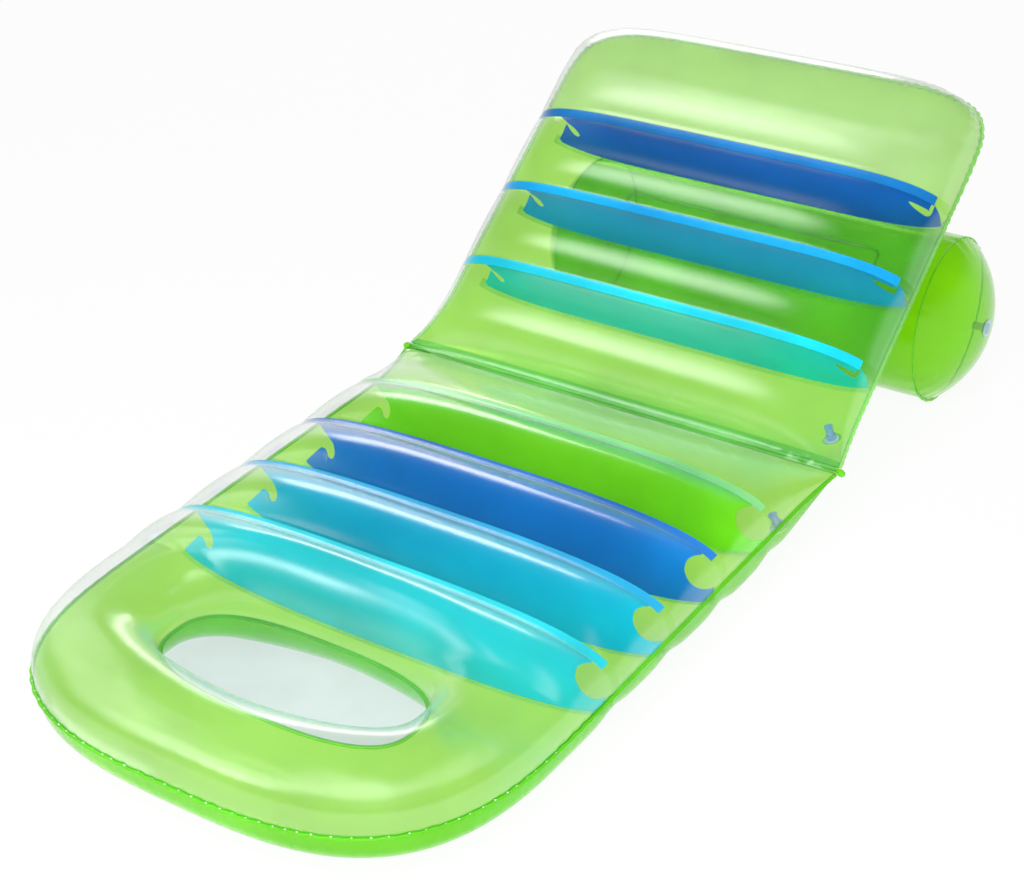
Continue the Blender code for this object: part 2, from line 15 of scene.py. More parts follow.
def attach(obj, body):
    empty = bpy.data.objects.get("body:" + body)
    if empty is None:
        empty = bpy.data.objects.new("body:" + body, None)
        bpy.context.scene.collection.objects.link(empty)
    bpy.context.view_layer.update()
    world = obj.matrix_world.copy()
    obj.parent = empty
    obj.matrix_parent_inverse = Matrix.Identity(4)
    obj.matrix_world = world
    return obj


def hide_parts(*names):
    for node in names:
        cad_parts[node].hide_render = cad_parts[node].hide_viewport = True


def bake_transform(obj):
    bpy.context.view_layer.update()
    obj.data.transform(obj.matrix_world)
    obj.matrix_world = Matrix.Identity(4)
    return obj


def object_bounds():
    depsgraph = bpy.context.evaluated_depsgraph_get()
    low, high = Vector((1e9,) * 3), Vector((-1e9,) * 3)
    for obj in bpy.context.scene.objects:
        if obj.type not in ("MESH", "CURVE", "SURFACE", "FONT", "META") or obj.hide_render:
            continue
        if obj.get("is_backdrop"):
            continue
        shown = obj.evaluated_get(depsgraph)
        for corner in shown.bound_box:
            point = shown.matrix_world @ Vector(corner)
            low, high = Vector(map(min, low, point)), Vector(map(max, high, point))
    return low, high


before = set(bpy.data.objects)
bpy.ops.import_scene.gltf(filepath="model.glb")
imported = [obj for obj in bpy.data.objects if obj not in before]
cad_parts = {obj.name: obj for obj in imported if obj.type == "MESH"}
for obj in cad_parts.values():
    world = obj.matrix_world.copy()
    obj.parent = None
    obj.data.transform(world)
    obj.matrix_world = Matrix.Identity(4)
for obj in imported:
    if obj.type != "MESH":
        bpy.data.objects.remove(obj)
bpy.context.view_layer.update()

# Plan, crowns and welds of the mats, as in the solids
film = 0.001
gap = 0.0003
weld_width = 0.0045
mat_half_width = 0.332
fold_half_width = 0.345
flare_length = 0.11
crown_height = 0.064
top_bulge = 0.017
bottom_bulge = 0.006
floor_flat = 0.0012
seat_webs = [0.153 + 0.1243 * i for i in range(4)]
seat_length = seat_webs[-1] + 0.3851
seat_end_reach = 0.314
seat_fold_rise = 0.0115
foot_crown_height = 0.071
well_half_length = 0.180
well_half_width = 0.0755
well_place = seat_length - 0.215
well_wall = 0.09
back_webs = [0.1475 + 0.130 * i for i in range(3)]
back_length = back_webs[-1] + 0.1895
back_end_reach = 0.181
back_fold_rise = 0.020
rise_length = 0.12
tilt = math.radians(35.4)
seat_corner_power = 3.0
back_corner_power = 6.0
well_power = 2.75
web_flange = 0.014
web_end = 0.318
bite_depth = 0.053
bite_tip = 0.003
fold_edge = 0.00595
skin = gap / 2 + film
seam_height = skin + crown_height + bottom_bulge - floor_flat
fold_height = seam_height + seat_fold_rise
fold_y = (seat_webs[1] + seat_webs[2]) / 2

# Pillow
pillow_radius = 0.119
pillow_half_length = 0.294
pillow_shift = 0.027
pillow_dome = 0.058
pillow_press = 0.010
pillow_flat_reach = pillow_half_length - 0.039
pillow_flat_end = pillow_half_length - 0.012
pillow_place = 0.34073
pillow_drop = 0.19755
pillow_centre_height = pillow_radius - floor_flat
back_facet = 0.026
patch_half_length = pillow_half_length - 0.089
patch_half_width = 0.026
patch_corner = 0.012


def curve_noise(values, seed, wave):
    """Smooth noise between -1 and 1 along a line, one value every wave."""
    values = np.asarray(values, float) / wave
    low = np.floor(values).astype(int)
    share = values - low
    share = share * share * (3 - 2 * share)

    def pick(index):
        return np.modf(np.sin(index * 12.9898 + seed * 78.233) * 43758.5453)[0]

    return pick(low) * (1 - share) + pick(low + 1) * share


def field_noise(x, y, seed, wave):
    """Smooth noise between -1 and 1 over a surface."""
    x, y = np.asarray(x, float) / wave, np.asarray(y, float) / wave
    lx, ly = np.floor(x), np.floor(y)
    sx, sy = x - lx, y - ly
    sx, sy = sx * sx * (3 - 2 * sx), sy * sy * (3 - 2 * sy)

    def pick(i, j):
        return np.modf(np.sin(i * 12.9898 + j * 37.719 + seed * 78.233) * 43758.5453)[0]

    near = pick(lx, ly) * (1 - sx) + pick(lx + 1, ly) * sx
    far = pick(lx, ly + 1) * (1 - sx) + pick(lx + 1, ly + 1) * sx
    return near * (1 - sy) + far * sy


class Mat:
    """The plan and the crown of one air chamber. v runs away from the fold."""

    def __init__(self, **sizes):
        self.__dict__.update(sizes)
        self.start = self.length - self.reach

    def half_width(self, v):
        left = np.clip(1 - v / flare_length, 0, None)
        return mat_half_width + (fold_half_width - mat_half_width) * left ** 2

    def edge_share(self, x, v):
        past = np.clip((v - self.start) / self.reach, 0, None)
        share = 1 - np.abs(x / self.half_width(v)) ** self.power - past ** self.power
        return np.clip(share, 0, None)

    def lift(self, v):
        return self.rise * np.clip(1 - v / rise_length, 0, None) ** 2

    def crown(self, x, v, bulge, side_power=None):
        x, v = np.broadcast_arrays(np.asarray(x, float), np.asarray(v, float))
        fill = np.clip((v - self.webs[-1]) / self.reach, 0, 1)
        first, last = self.crown_powers
        rising = 1.0
        if side_power:
            rising, first = 0.75, side_power(v)
        fullness = self.edge_share(x, v) ** (first + (last - first) * fill)
        height = (crown_height + (self.end_crown - crown_height) * fill) * fullness
        half = web_flange / 2
        edges = [fold_edge] + [edge for web in self.webs for edge in (web - half, web + half)]
        share = np.clip((v - edges[0]) / (edges[1] - edges[0]), 0, 1)
        leaning = 1 + self.lean * (1 - 2 * share)
        arch = fullness * 4 * share * (1 - share) * leaning
        first_bay = height * share ** rising + self.first_bulge * arch
        out = np.where(v < edges[1], first_bay, height)
        for low, high in zip(edges[2::2], edges[3::2] + [self.bulge_end]):
            share = np.clip((v - low) / (high - low), 0, 1)
            leaning = 1 + self.lean * (1 - 2 * share) * (low > self.webs[-1])
            out = out + bulge * fullness ** 1.8 * 4 * share * (1 - share) * leaning
        return out


class SeatMat(Mat):
    """The seat mat's crown also dips to the seam round the oval well."""

    def well_distance(self, x, v):
        across, along = np.broadcast_arrays(np.asarray(x, float), np.asarray(v, float) - well_place)
        ring = (np.abs(across / well_half_length) ** well_power
                + np.abs(along / well_half_width) ** well_power) ** (1 / well_power)
        ring = np.maximum(ring, 1.0)
        return np.hypot(across, along) * (1 - 1 / ring)

    def crown(self, x, v, bulge, side_power=None):
        near = np.clip(self.well_distance(x, v) / well_wall, 0, 1)
        return super().crown(x, v, bulge, side_power) * np.sqrt(1 - (1 - near) ** 2)


seat = SeatMat(
    length=seat_length, reach=seat_end_reach, power=seat_corner_power, crown_powers=(1 / 3, 0.28),
    webs=seat_webs, rise=seat_fold_rise, end_crown=foot_crown_height,
    bulge_end=well_place - well_half_width, first_bulge=0.011, lean=0.0)
back = Mat(
    length=back_length, reach=back_end_reach, power=back_corner_power, crown_powers=(0.49, 0.49),
    webs=back_webs, rise=back_fold_rise, end_crown=crown_height, bulge_end=back_length,
    first_bulge=0.022, lean=0.5)


def pillow_reach(x, along):
    """Distance of the pillow's outside from its axis, measured square to the back mat."""
    fade = (pillow_flat_end - np.abs(x - pillow_shift)) / (pillow_flat_end - pillow_flat_reach)
    fade = np.clip(fade, 0, 1)
    round_reach = np.sqrt(np.clip(pillow_radius ** 2 - along ** 2, 0, None))
    return np.minimum(round_reach, pillow_radius - pillow_press * fade)


def puckers(mat, x, v, corners):
    """Small creases that run in from the weld, deepest at the corners and the webs' ends."""
    x, v = np.broadcast_arrays(np.asarray(x, float), np.asarray(v, float))
    along = v - np.abs(x) + 0.5 * (x > 0)
    crease = curve_noise(along, 41, 0.0085) + 0.4 * curve_noise(along + 0.15 * x, 43, 0.004)
    share = mat.edge_share(x, v)
    near_seam = np.exp(-share / 0.30) * (1 - np.exp(-share / 0.03))
    depth = np.full_like(along, 0.0004)
    for place, size in corners:
        away = (np.abs(x) - place[0]) ** 2 + (v - place[1]) ** 2
        depth = depth + size * np.exp(-away / 0.075 ** 2)
    for web in mat.webs:
        depth = depth + 0.0003 * np.exp(-((v - web) / 0.03) ** 2)
    return crease * near_seam * depth


fold_corner = ((0.30, 0.02), 0.0015)


def seat_top(x, v):
    return (skin + seat.crown(x, v, top_bulge) + seat.lift(v)
            + puckers(seat, x, v, [fold_corner]))


def under_power(v):
    """The seat's underside is full between its webs and drawn in at their ends."""
    drawn = sum(np.exp(-((v - web) / 0.022) ** 2) for web in seat_webs)
    return 0.19 + 0.09 * np.clip((v - 0.25) / 0.25, 0, 1) + 0.06 * drawn


def seat_bottom(x, v):
    free = seat.lift(v) - skin - seat.crown(x, v, bottom_bulge, under_power)
    return np.maximum(-seam_height, free)


def back_top(x, v):
    corners = [((0.30, back_length - 0.03), 0.0032), fold_corner]
    return (back.lift(v) - back_fold_rise + skin + back.crown(x, v, top_bulge)
            + puckers(back, x, v, corners))


def back_bottom(x, v):
    free = back.lift(v) - back_fold_rise - skin - back.crown(x, v, bottom_bulge)
    along = np.clip(np.abs(v - pillow_place) - back_facet, 0, None)
    pressed = pillow_reach(x, along) + film + 2 * gap - pillow_drop
    touching = (along < pillow_radius) & (np.abs(x - pillow_shift) < pillow_half_length)
    return np.where(touching, np.maximum(free, pressed), free)


def on_seat(x, v, height):
    """World points of the seat, from places on its plan and heights over the seam plane."""
    x, v, height = np.broadcast_arrays(x, v, height)
    return np.stack([x, fold_y - v, seam_height + height], axis=-1)


def on_back(x, v, height):
    """World points of the back, from its plan and heights over the plane through the fold."""
    x, v, height = np.broadcast_arrays(x, v, height)
    return np.stack([x, fold_y + v * math.cos(tilt) - height * math.sin(tilt),
                     fold_height + v * math.sin(tilt) + height * math.cos(tilt)], axis=-1)


# Lines that the films are laid on
def seam_dense(count, power):
    """Shares from 0 in the middle to 1 at the seam, closer together at the seam."""
    return 1 - np.linspace(1, 0, count) ** power


def bay_dense(count):
    """Shares across a bay, closer together at the webs."""
    turn = np.linspace(0, math.pi, count)
    return 0.35 * np.linspace(0, 1, count) + 0.65 * (1 - np.cos(turn)) / 2


side_count = 34
bay_count = 19
ring_count = 30
foot_count = 90


def back_bite(x, v):
    """How far the welds' puckers pull the back's seam in, at places near it."""
    along = v - np.abs(x)
    corner = np.exp(-((np.abs(x) - 0.29) ** 2 + (v - back_length + 0.05) ** 2) / 0.10 ** 2)
    depth = 0.0006 + 0.0028 * corner + 0.0008 * (v > back_length - 0.03)
    start = np.clip((v - 0.06) / 0.05, 0, 1)
    return scallop(along + 0.5 * (x > 0), 0.016, 1.0, 9) * depth * start


def pulled_in(x, v):
    """Places on the back's plan after the puckers have pulled its seam in."""
    across = np.abs(x) / back.half_width(v)
    past = np.clip((v - back.start) / back_end_reach, 0, None)
    near = np.exp(-back.edge_share(x, v) / 0.12)
    way = np.stack([np.sign(x) * across ** 5, past ** 5], axis=-1)
    way = way / np.maximum(np.linalg.norm(way, axis=-1), 1e-6)[..., None]
    bite = back_bite(x, v) * near
    return x - way[..., 0] * bite, v - way[..., 1] * bite


def stations(half_width, power):
    right = seam_dense(side_count, power) * half_width
    return np.concatenate([-right[:0:-1], right])


def rows(mat):
    half = web_flange / 2
    found, low = [], fold_edge
    for web in mat.webs:
        found += list(low + (web - half - low) * bay_dense(bay_count))
        found.append(web)
        low = web + half
    found.append(low)
    return found


def scallop(along, wave, depth, seed):
    """Small arcs along a welded edge: 0 at their tops, depth at the puckers between them."""
    along = along + curve_noise(along, seed, wave * 2.3) * wave * 0.35
    return depth * (1 - np.abs(np.sin(math.pi * along / wave)) ** 0.8)


def distances(line):
    """Distances along a line of points, from its start to each of them."""
    return np.concatenate([[0], np.cumsum(np.linalg.norm(np.diff(line, axis=0), axis=1))])


def evenly(line, count, endpoint=True):
    """A line's points set again at even distances, and those distances."""
    steps = distances(line)
    even = np.linspace(0, steps[-1], count, endpoint=endpoint)
    return np.stack([np.interp(even, steps, line[:, i]) for i in (0, 1)], axis=-1), even


def squared(values, power):
    """Sines or cosines of an ellipse, changed to those of a squarer oval."""
    return np.sign(values) * np.abs(values) ** (2 / power)


def foot_outline():
    """Points of the foot's seam with their distances along it, from the right side to the left."""
    count = foot_count * 2 + 1
    turns = np.linspace(0, math.pi, count)
    across = mat_half_width * squared(np.cos(turns), seat_corner_power)
    place = seat.start + seat_end_reach * squared(np.sin(turns), seat_corner_power)
    sides = np.linspace(rows(seat)[-1], seat.start, 9)[:-1]
    start = np.array([[mat_half_width, v] for v in sides])
    end = start[::-1] * np.array([-1, 1])
    return evenly(np.concatenate([start, np.stack([across, place], axis=-1), end]), count)


def inward(points):
    """Unit vectors square to an outline that runs with the mat on its right-hand side."""
    ahead = np.gradient(points, axis=0)
    ahead /= np.linalg.norm(ahead, axis=1)[:, None]
    return np.stack([-ahead[:, 1], ahead[:, 0]], axis=-1)


foot_points, foot_along = foot_outline()
foot_in = inward(foot_points)
foot_end_distance = np.minimum(foot_along, foot_along[-1] - foot_along)
foot_bite = scallop(foot_along, 0.021, 0.0011, 3) * np.clip(foot_end_distance / 0.06, 0, 1)
foot_seam = foot_points + foot_in * foot_bite[:, None]


# Meshes and pieces
def add_grid(mesh, lines):
    """Faces between equally long lines of points."""
    made = [[mesh.verts.new(point) for point in line] for line in lines]
    for first, second in zip(made, made[1:]):
        for i in range(len(first) - 1):
            mesh.faces.new((first[i], first[i + 1], second[i + 1], second[i]))
    return made


def add_piece(name, mesh, looks, up=None):
    """A named object from a bmesh. up turns the widest face's normal that way."""
    bmesh.ops.remove_doubles(mesh, verts=mesh.verts, dist=2e-6)
    bmesh.ops.dissolve_degenerate(mesh, edges=mesh.edges, dist=1e-7)
    bmesh.ops.recalc_face_normals(mesh, faces=mesh.faces)
    if up is not None:
        tilted = sum((face.normal * face.calc_area() for face in mesh.faces), Vector())
        if tilted.dot(Vector(up)) < 0:
            bmesh.ops.reverse_faces(mesh, faces=mesh.faces)
    data = bpy.data.meshes.new(name)
    mesh.to_mesh(data)
    mesh.free()
    for look in looks if isinstance(looks, list) else [looks]:
        data.materials.append(look)
    data.shade_smooth()
    piece = bpy.data.objects.new(name, data)
    bpy.context.collection.objects.link(piece)
    return piece


def add_tube(mesh, path, radius, sides=8, squash=1.0):
    """A round cord of film along a path, closed at its ends."""
    path = np.asarray(path, float)
    radius = np.broadcast_to(radius, len(path))
    ahead = np.gradient(path, axis=0)
    ahead /= np.linalg.norm(ahead, axis=1)[:, None]
    lines = []
    for point, along, size in zip(path, ahead, radius):
        side = np.cross(along, (0, 0, 1.0))
        side /= np.linalg.norm(side)
        up = np.cross(side, along)
        turns = np.linspace(0, 2 * math.pi, sides, endpoint=False)
        ring = [point + size * (math.cos(t) * side + squash * math.sin(t) * up) for t in turns]
        lines.append(ring + ring[:1])
    made = add_grid(mesh, lines)
    mesh.faces.new(made[0][:-1])
    mesh.faces.new(made[-1][:-1][::-1])


# Valves: the side, the place, the way out of the film and the piece they ride on
valves = (("seat", (0.306, 0.25245, 0.034304), (0.367552, 0.226132, -0.902092), "seat"),
          ("back", (0.297, 0.418404, 0.075654), (0.271766, 0.102123, -0.95693), "back"),
          ("pillow", (0.379, 0.731626, 0.1178), (1.0, 0.0, 0.0), "back"))
valve_opening = 0.0096


def open_for_valve(mesh, place, axis):
    """A round hole in a film, under the flange of a valve."""
    place, axis = Vector(place), Vector(axis).normalized()

    def parts(point):
        depth = (point - place).dot(axis)
        return point - place - axis * depth, depth

    refined_reach, rim_reach, film_depth = 0.024, 0.0135, 0.02
    near = {edge for face in mesh.faces for edge in face.edges
            if min((vert.co - place).length for vert in face.verts) < refined_reach}
    bmesh.ops.subdivide_edges(mesh, edges=list(near), cuts=6, use_grid_fill=True)
    gone = []
    for face in mesh.faces:
        out, depth = parts(face.calc_center_median())
        if out.length < valve_opening and abs(depth) < film_depth:
            gone.append(face)
    bmesh.ops.delete(mesh, geom=gone, context="FACES")
    for vert in {vert for edge in mesh.edges if edge.is_boundary for vert in edge.verts}:
        out, depth = parts(vert.co)
        if out.length < rim_reach and abs(depth) < film_depth:
            vert.co = place + axis * depth + out.normalized() * valve_opening


# Looks
def new_material(name):
    made = bpy.data.materials.new(name)
    made.use_nodes = True
    made.node_tree.nodes.clear()
    return made, made.node_tree


def add_node(tree, kind, inputs, operation=None, out=0):
    """A shader node's output. Each input is a value, or another node's output to link."""
    made = tree.nodes.new("ShaderNode" + kind)
    if operation:
        made.operation = operation
    for key, value in inputs.items():
        if isinstance(value, bpy.types.NodeSocket):
            tree.links.new(value, made.inputs[key])
        else:
            made.inputs[key].default_value = value
    return made.outputs[out] if made.outputs else made


def add_ramp(tree, source, stops):
    ramp = tree.nodes.new("ShaderNodeValToRGB")
    for element, (position, colour) in zip(ramp.color_ramp.elements, stops):
        element.position = position
        element.color = colour
    tree.links.new(source, ramp.inputs["Fac"])
    return ramp.outputs["Color"]


def film_material(name, tint, body, haze, gloss, roughness, streak=False, waves=0.12,
                  shine_level=0.3, haze_power=3.0):
    """Tinted see-through vinyl. haze and gloss are shares face on and edge on."""
    made, tree = new_material(name)
    place = add_node(tree, "TexCoord", {}, out="Object")
    cloud = add_node(tree, "TexNoise", {"Vector": place, "Scale": 7.0, "Detail": 3.0})
    colours = []
    for colour, spread in ((tint, 0.06), (body, 0.10)):
        dark = [c * (1 - spread) for c in colour] + [1]
        light = [min(1, c * (1 + spread)) for c in colour] + [1]
        colours.append(add_ramp(tree, cloud, ((0.3, dark), (0.7, light))))
    stretch = (1.5, 34.0, 34.0) if streak else (16.0, 16.0, 16.0)
    stretched = add_node(tree, "Mapping", {"Vector": place, "Scale": stretch})
    wave = add_node(tree, "TexNoise", {"Vector": stretched, "Scale": 1.0, "Detail": 2.0})
    grain = add_node(tree, "TexNoise", {"Vector": place, "Scale": 420.0})
    coarse = add_node(tree, "Bump", {"Height": wave, "Strength": waves, "Distance": 0.004})
    bump = add_node(tree, "Bump", {"Height": grain, "Strength": 0.03, "Distance": 0.0004,
                                   "Normal": coarse})
    facing = add_node(tree, "LayerWeight", {"Blend": 0.5}, out="Facing")
    shares = []
    for (low, high), power in ((haze, haze_power), (gloss, 4.0)):
        raised = add_node(tree, "Math", {0: facing, 1: power}, "POWER")
        shares.append(add_node(tree, "MapRange", {"Value": raised, "To Min": low, "To Max": high}))
    through = add_node(tree, "BsdfTransparent", {"Color": colours[0]})
    solid = add_node(tree, "BsdfPrincipled", {
        "Base Color": colours[1], "Roughness": roughness + 0.25,
        "Specular IOR Level": shine_level, "Normal": bump})
    shine = add_node(tree, "BsdfAnisotropic", {
        "Color": (1, 1, 1, 1), "Roughness": roughness, "Normal": bump})
    inner = add_node(tree, "MixShader", {"Fac": shares[0], 1: through, 2: solid})
    outer = add_node(tree, "MixShader", {"Fac": shares[1], 1: inner, 2: shine})
    add_node(tree, "OutputMaterial", {"Surface": outer})
    return made


clear_tint = (0.975, 0.975, 0.99)
clear_waves = {"streak": True, "waves": 0.06, "haze_power": 5.0}
clear_look = film_material("clear_vinyl", clear_tint, (0.74, 0.75, 0.84), (0.002, 0.85),
                           (0.09, 0.75), 0.19, **clear_waves)
# The top tube's film is milkier than the rest: its haze is a painted reflection, the broad whitish
# veil on the back's top tube
clear_top_painted_reflection_look = film_material("clear_vinyl_top_painted_reflection", clear_tint, (0.76, 0.77, 0.80), (0.15, 0.85),
                               (0.08, 0.75), 0.22, **clear_waves)
# The foot's film has a little more haze than the rest, a painted pale highlight skirt over the foot
# ring
clear_foot_painted_highlight_look = film_material("clear_vinyl_foot_painted_highlight", clear_tint, (0.76, 0.77, 0.82), (0.02, 0.85),
                                (0.09, 0.75), 0.22, **clear_waves)
clear_weld_look = film_material("clear_weld_vinyl", (0.95, 0.96, 0.98), (0.70, 0.74, 0.80),
                                (0.01, 0.3), (0.05, 0.95), 0.30, streak=True, haze_power=6.0)
# The window's grey-green tint is partly the clear film's own and partly painted shade: the
# green-tinted shaded floor seen through the well
window_painted_shade_look = film_material("window_vinyl_painted_shade", (0.76, 0.87, 0.84), (0.45, 0.52, 0.50), (0.05, 0.4),
                            (0.02, 0.95), 0.10)
green_look = film_material("green_vinyl", (0.42, 0.83, 0.13), (0.30, 0.82, 0.05), (0.12, 0.6),
                           (0.02, 0.9), 0.2, streak=True, shine_level=0.15)
pillow_look = film_material("pillow_vinyl", (0.45, 0.80, 0.04), (0.31, 0.77, 0.01), (0.14, 0.6),
                            (0.03, 0.9), 0.2, shine_level=0.15)
weld_look = film_material("weld_green", (0.38, 0.84, 0.08), (0.26, 0.80, 0.03), (0.35, 0.8),
                          (0.02, 0.5), 0.25, waves=0.3, shine_level=0.1)
pale_weld_look = film_material("back_weld_vinyl", (0.62, 0.92, 0.40), (0.50, 0.86, 0.36),
                               (0.25, 0.7), (0.04, 0.8), 0.22, waves=0.3)
line_look = film_material("weld_line", (0.10, 0.58, 0.02), (0.06, 0.50, 0.01), (0.6, 0.9),
                          (0.03, 0.6), 0.25, waves=0.3, shine_level=0.1)
band_look = film_material("fold_band_vinyl", (0.52, 0.86, 0.60), (0.30, 0.72, 0.36), (0.08, 0.6),
                          (0.06, 0.9), 0.18, waves=0.2)
patch_look = film_material("patch_weld_vinyl", (0.62, 0.88, 0.45), (0.45, 0.80, 0.30), (0.2, 0.6),
                           (0.05, 0.9), 0.2, waves=0.3)
lower_look = film_material("lower_weld_vinyl", (0.84, 0.97, 0.80), (0.45, 0.85, 0.50),
                           (0.04, 0.4), (0.02, 0.8), 0.25, waves=0.3, shine_level=0.1)
valve_look = film_material("valve_plastic", (0.55, 0.72, 0.98), (0.34, 0.58, 1.0), (0.55, 0.9),
                           (0.08, 0.9), 0.14)
flange_look = film_material("valve_flange_vinyl", (0.78, 0.90, 0.96), (0.55, 0.74, 0.92),
                            (0.25, 0.85), (0.10, 0.9), 0.14)
# Near-white look for the seam blisters and toe creases: a painted highlight for the glints that
# catch on tiny wrinkles
painted_glint_look = film_material("seam_painted_glint", (0.9, 1.0, 0.85), (0.9, 1.0, 0.85), (0.7, 0.9),
                           (0.2, 0.9), 0.1)


def web_looks(name, tint, body, edge_tint, edge_body):
    """The looks of a web's plate, of its upper strip and of its lower strip."""
    return [film_material(name, tint, body, (0.95, 1.0), (0.004, 0.12), 0.25,
                          streak=True, shine_level=0.04),
            film_material(name + "_weld", edge_tint, edge_body, (0.93, 0.97), (0.004, 0.4), 0.3,
                          shine_level=0.05),
            lower_look]


# Tint and body of each web's plate, then those of its upper strip
web_colours = {
    "seat_web_green": ((0.25, 0.75, 0.05), (0.24, 1.0, 0.01),
                       (0.55, 0.95, 0.45), (0.34, 1.0, 0.34)),
    "seat_web_dark_blue": ((0.0, 0.15, 0.5), (0.0, 0.25, 0.82),
                           (0.0, 0.3, 0.8), (0.02, 0.24, 0.75)),
    "seat_web_blue": ((0.0, 0.45, 0.8), (0.0, 0.60, 1.0),
                      (0.1, 0.6, 0.95), (0.02, 0.55, 0.95)),
    "seat_web_turquoise": ((0.0, 0.6, 0.7), (0.0, 0.58, 0.80),
                           (0.1, 0.8, 0.85), (0.02, 0.80, 0.90)),
    "back_web_turquoise": ((0.0, 0.6, 0.6), (0.0, 0.84, 0.95),
                           (0.0, 0.75, 0.95), (0.0, 0.74, 0.94)),
    "back_web_blue": ((0.0, 0.4, 0.65), (0.0, 0.48, 1.0),
                      (0.0, 0.5, 1.0), (0.0, 0.48, 1.0)),
    "back_web_dark_blue": ((0.0, 0.15, 0.45), (0.0, 0.19, 0.84),
                           (0.01, 0.24, 0.8), (0.0, 0.21, 0.60)),
}


# Films of both mats, which run on through the fold
def seat_lines(height):
    """Lines of the seat's film from the fold to the last web."""
    lines = []
    for v in rows(seat):
        x = stations(seat.half_width(v), 2.4)
        lines.append(on_seat(x, v, height(x, v)))
    return lines


def foot_rings(height):
    """Spokes from the well's seam out to the foot's seam, all the way round."""
    far = rows(seat)[-1]
    x = stations(mat_half_width, 2.4)
    outer = np.concatenate([np.stack([x, np.full_like(x, far)], axis=-1), foot_seam[1:-1]])
    offset = outer - np.array([0.0, well_place])
    scaled = np.abs(offset / np.array([well_half_length, well_half_width]))
    inner = offset / ((scaled ** well_power).sum(axis=1) ** (1 / well_power))[:, None]
    t = np.linspace(0, 1, ring_count)
    shares = np.where(t < 0.5, 0.5 * (2 * t) ** 2.0, 1 - 0.5 * (2 * (1 - t)) ** 2.4)
    lines = []
    for share in shares:
        place = inner + (offset - inner) * share
        px, pv = place[:, 0], place[:, 1] + well_place
        z = height(px, pv)
        if share == 1:
            # a point of the seam moved in by a pucker keeps the seam's height
            z[len(x):] = skin if height is seat_top else -skin
        lines.append(np.concatenate([on_seat(px, pv, z), on_seat(px, pv, z)[:1]]))
    return lines


def back_lines(height):
    """Lines of the back's film from the fold to its top edge."""
    places = rows(back)
    t = np.linspace(0, 1, 56)[1:]
    ends = places[-1] + (back_length - places[-1]) * (1 - (1 - t) ** 2.0)
    lines = []
    for v in places + list(ends):
        x = stations(back.half_width(v), 2.0)
        v = np.full_like(x, v)
        past = (v - back.start) / back_end_reach
        across = np.abs(x) / mat_half_width
        largest = np.maximum(np.maximum(across, past), 1e-9)
        norm = ((across / largest) ** back_corner_power
                + (np.clip(past, 0, None) / largest) ** back_corner_power)
        shrink = np.where(past > 0, np.maximum(norm, 1e-9) ** (-1 / back_corner_power), 1.0)
        x = x * shrink
        v = np.where(past > 0, back.start + (v - back.start) * shrink, v)
        px, pv = pulled_in(x, v)
        lines.append(on_back(px, pv, height(x, v)))
    return lines


def fold_crinkle(x, row, seed):
    """Creases in the fold's band, stronger towards its right end."""
    strength = 0.0002 + 0.0014 * np.clip((x - 0.18) / 0.12, 0, 1)
    return strength * (field_noise(x, row * 0.01, seed, 0.011)
                       + 0.6 * field_noise(x, row * 0.01, seed + 5, 0.0043))


def fold_lines(first, last, side, seed):
    """Lines of film between the seat's first line and the back's first line."""
    lines = []
    count = 7
    for i in range(1, count):
        share = i / count
        line = first * (1 - share) + last * share
        x = line[:, 0]
        bow = 0.0022 * math.sin(math.pi * share) * side
        wave = fold_crinkle(x, i, seed) * math.sin(math.pi * share) ** 0.5
        line[:, 2] += bow + wave * side * 0.8 + wave * 0.2
        line[:, 1] += wave * 0.7
        lines.append(line)
    return lines


def add_film(name, seat_height, back_height, side, looks, nodes):
    """One film of both mats. looks are for the bays, over the webs, the back's end and the foot."""
    mesh = bmesh.new()
    seat_part = seat_lines(seat_height)
    back_part = back_lines(back_height)
    fold_part = fold_lines(seat_part[0], back_part[0], side, 4 + side)
    add_grid(mesh, seat_part[::-1] + fold_part + back_part)
    add_grid(mesh, foot_rings(seat_height))
    half = web_flange / 2
    for face in mesh.faces:
        middle = face.calc_center_median()
        ahead, up = middle.y - fold_y, middle.z - fold_height
        away = -ahead if ahead < 0 else ahead * math.cos(tilt) + up * math.sin(tilt)
        webs = seat_webs if ahead < 0 else back_webs
        end = 3 if ahead < 0 else 2
        if any(abs(away - web) < half for web in webs):
            face.material_index = 1
        elif away > webs[-1] and len(looks) > 2:
            face.material_index = end
    if side < 0:
        bmesh.ops.remove_doubles(mesh, verts=mesh.verts, dist=2e-6)
        for _, place, axis, _ in valves[:2]:
            open_for_valve(mesh, place, axis)
    piece = add_piece(name, mesh, looks, up=(0, 0, side))
    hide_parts(*nodes)
    return piece


def bend_at_fold(piece):
    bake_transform(piece)


clear_film = add_film("clear_film", seat_top, back_top, 1,
                      [clear_look, clear_weld_look, clear_top_painted_reflection_look, clear_foot_painted_highlight_look],
                      ("seat_top_sheet", "back_top_sheet"))
bend_at_fold(clear_film)
green_film = add_film("green_film", seat_bottom, back_bottom, -1, [green_look, green_look],
                      ("seat_bottom_sheet", "back_bottom_sheet"))
bend_at_fold(green_film)


# Welded edge of both mats
def back_outline():
    """The back's seam from the fold's right end round to its left end, in the back's plan."""
    turns = np.linspace(0, math.pi, 400)
    across = mat_half_width * squared(np.cos(turns), back_corner_power)
    place = back.start + back_end_reach * squared(np.sin(turns), back_corner_power)
    v = np.linspace(fold_edge, back.start, 60)[:-1]
    right = np.stack([back.half_width(v), v], axis=-1)
    left = (right * np.array([-1, 1]))[::-1]
    return evenly(np.concatenate([right, np.stack([across, place], axis=-1), left]), 900)[0]


def seat_side_outline():
    """The seat's seam from the fold's right end round the foot to its left end."""
    v = np.linspace(fold_edge, rows(seat)[-1], 120)[:-1]
    right = np.stack([seat.half_width(v), v], axis=-1)
    return np.concatenate([right, foot_seam, (right * np.array([-1, 1]))[::-1]])


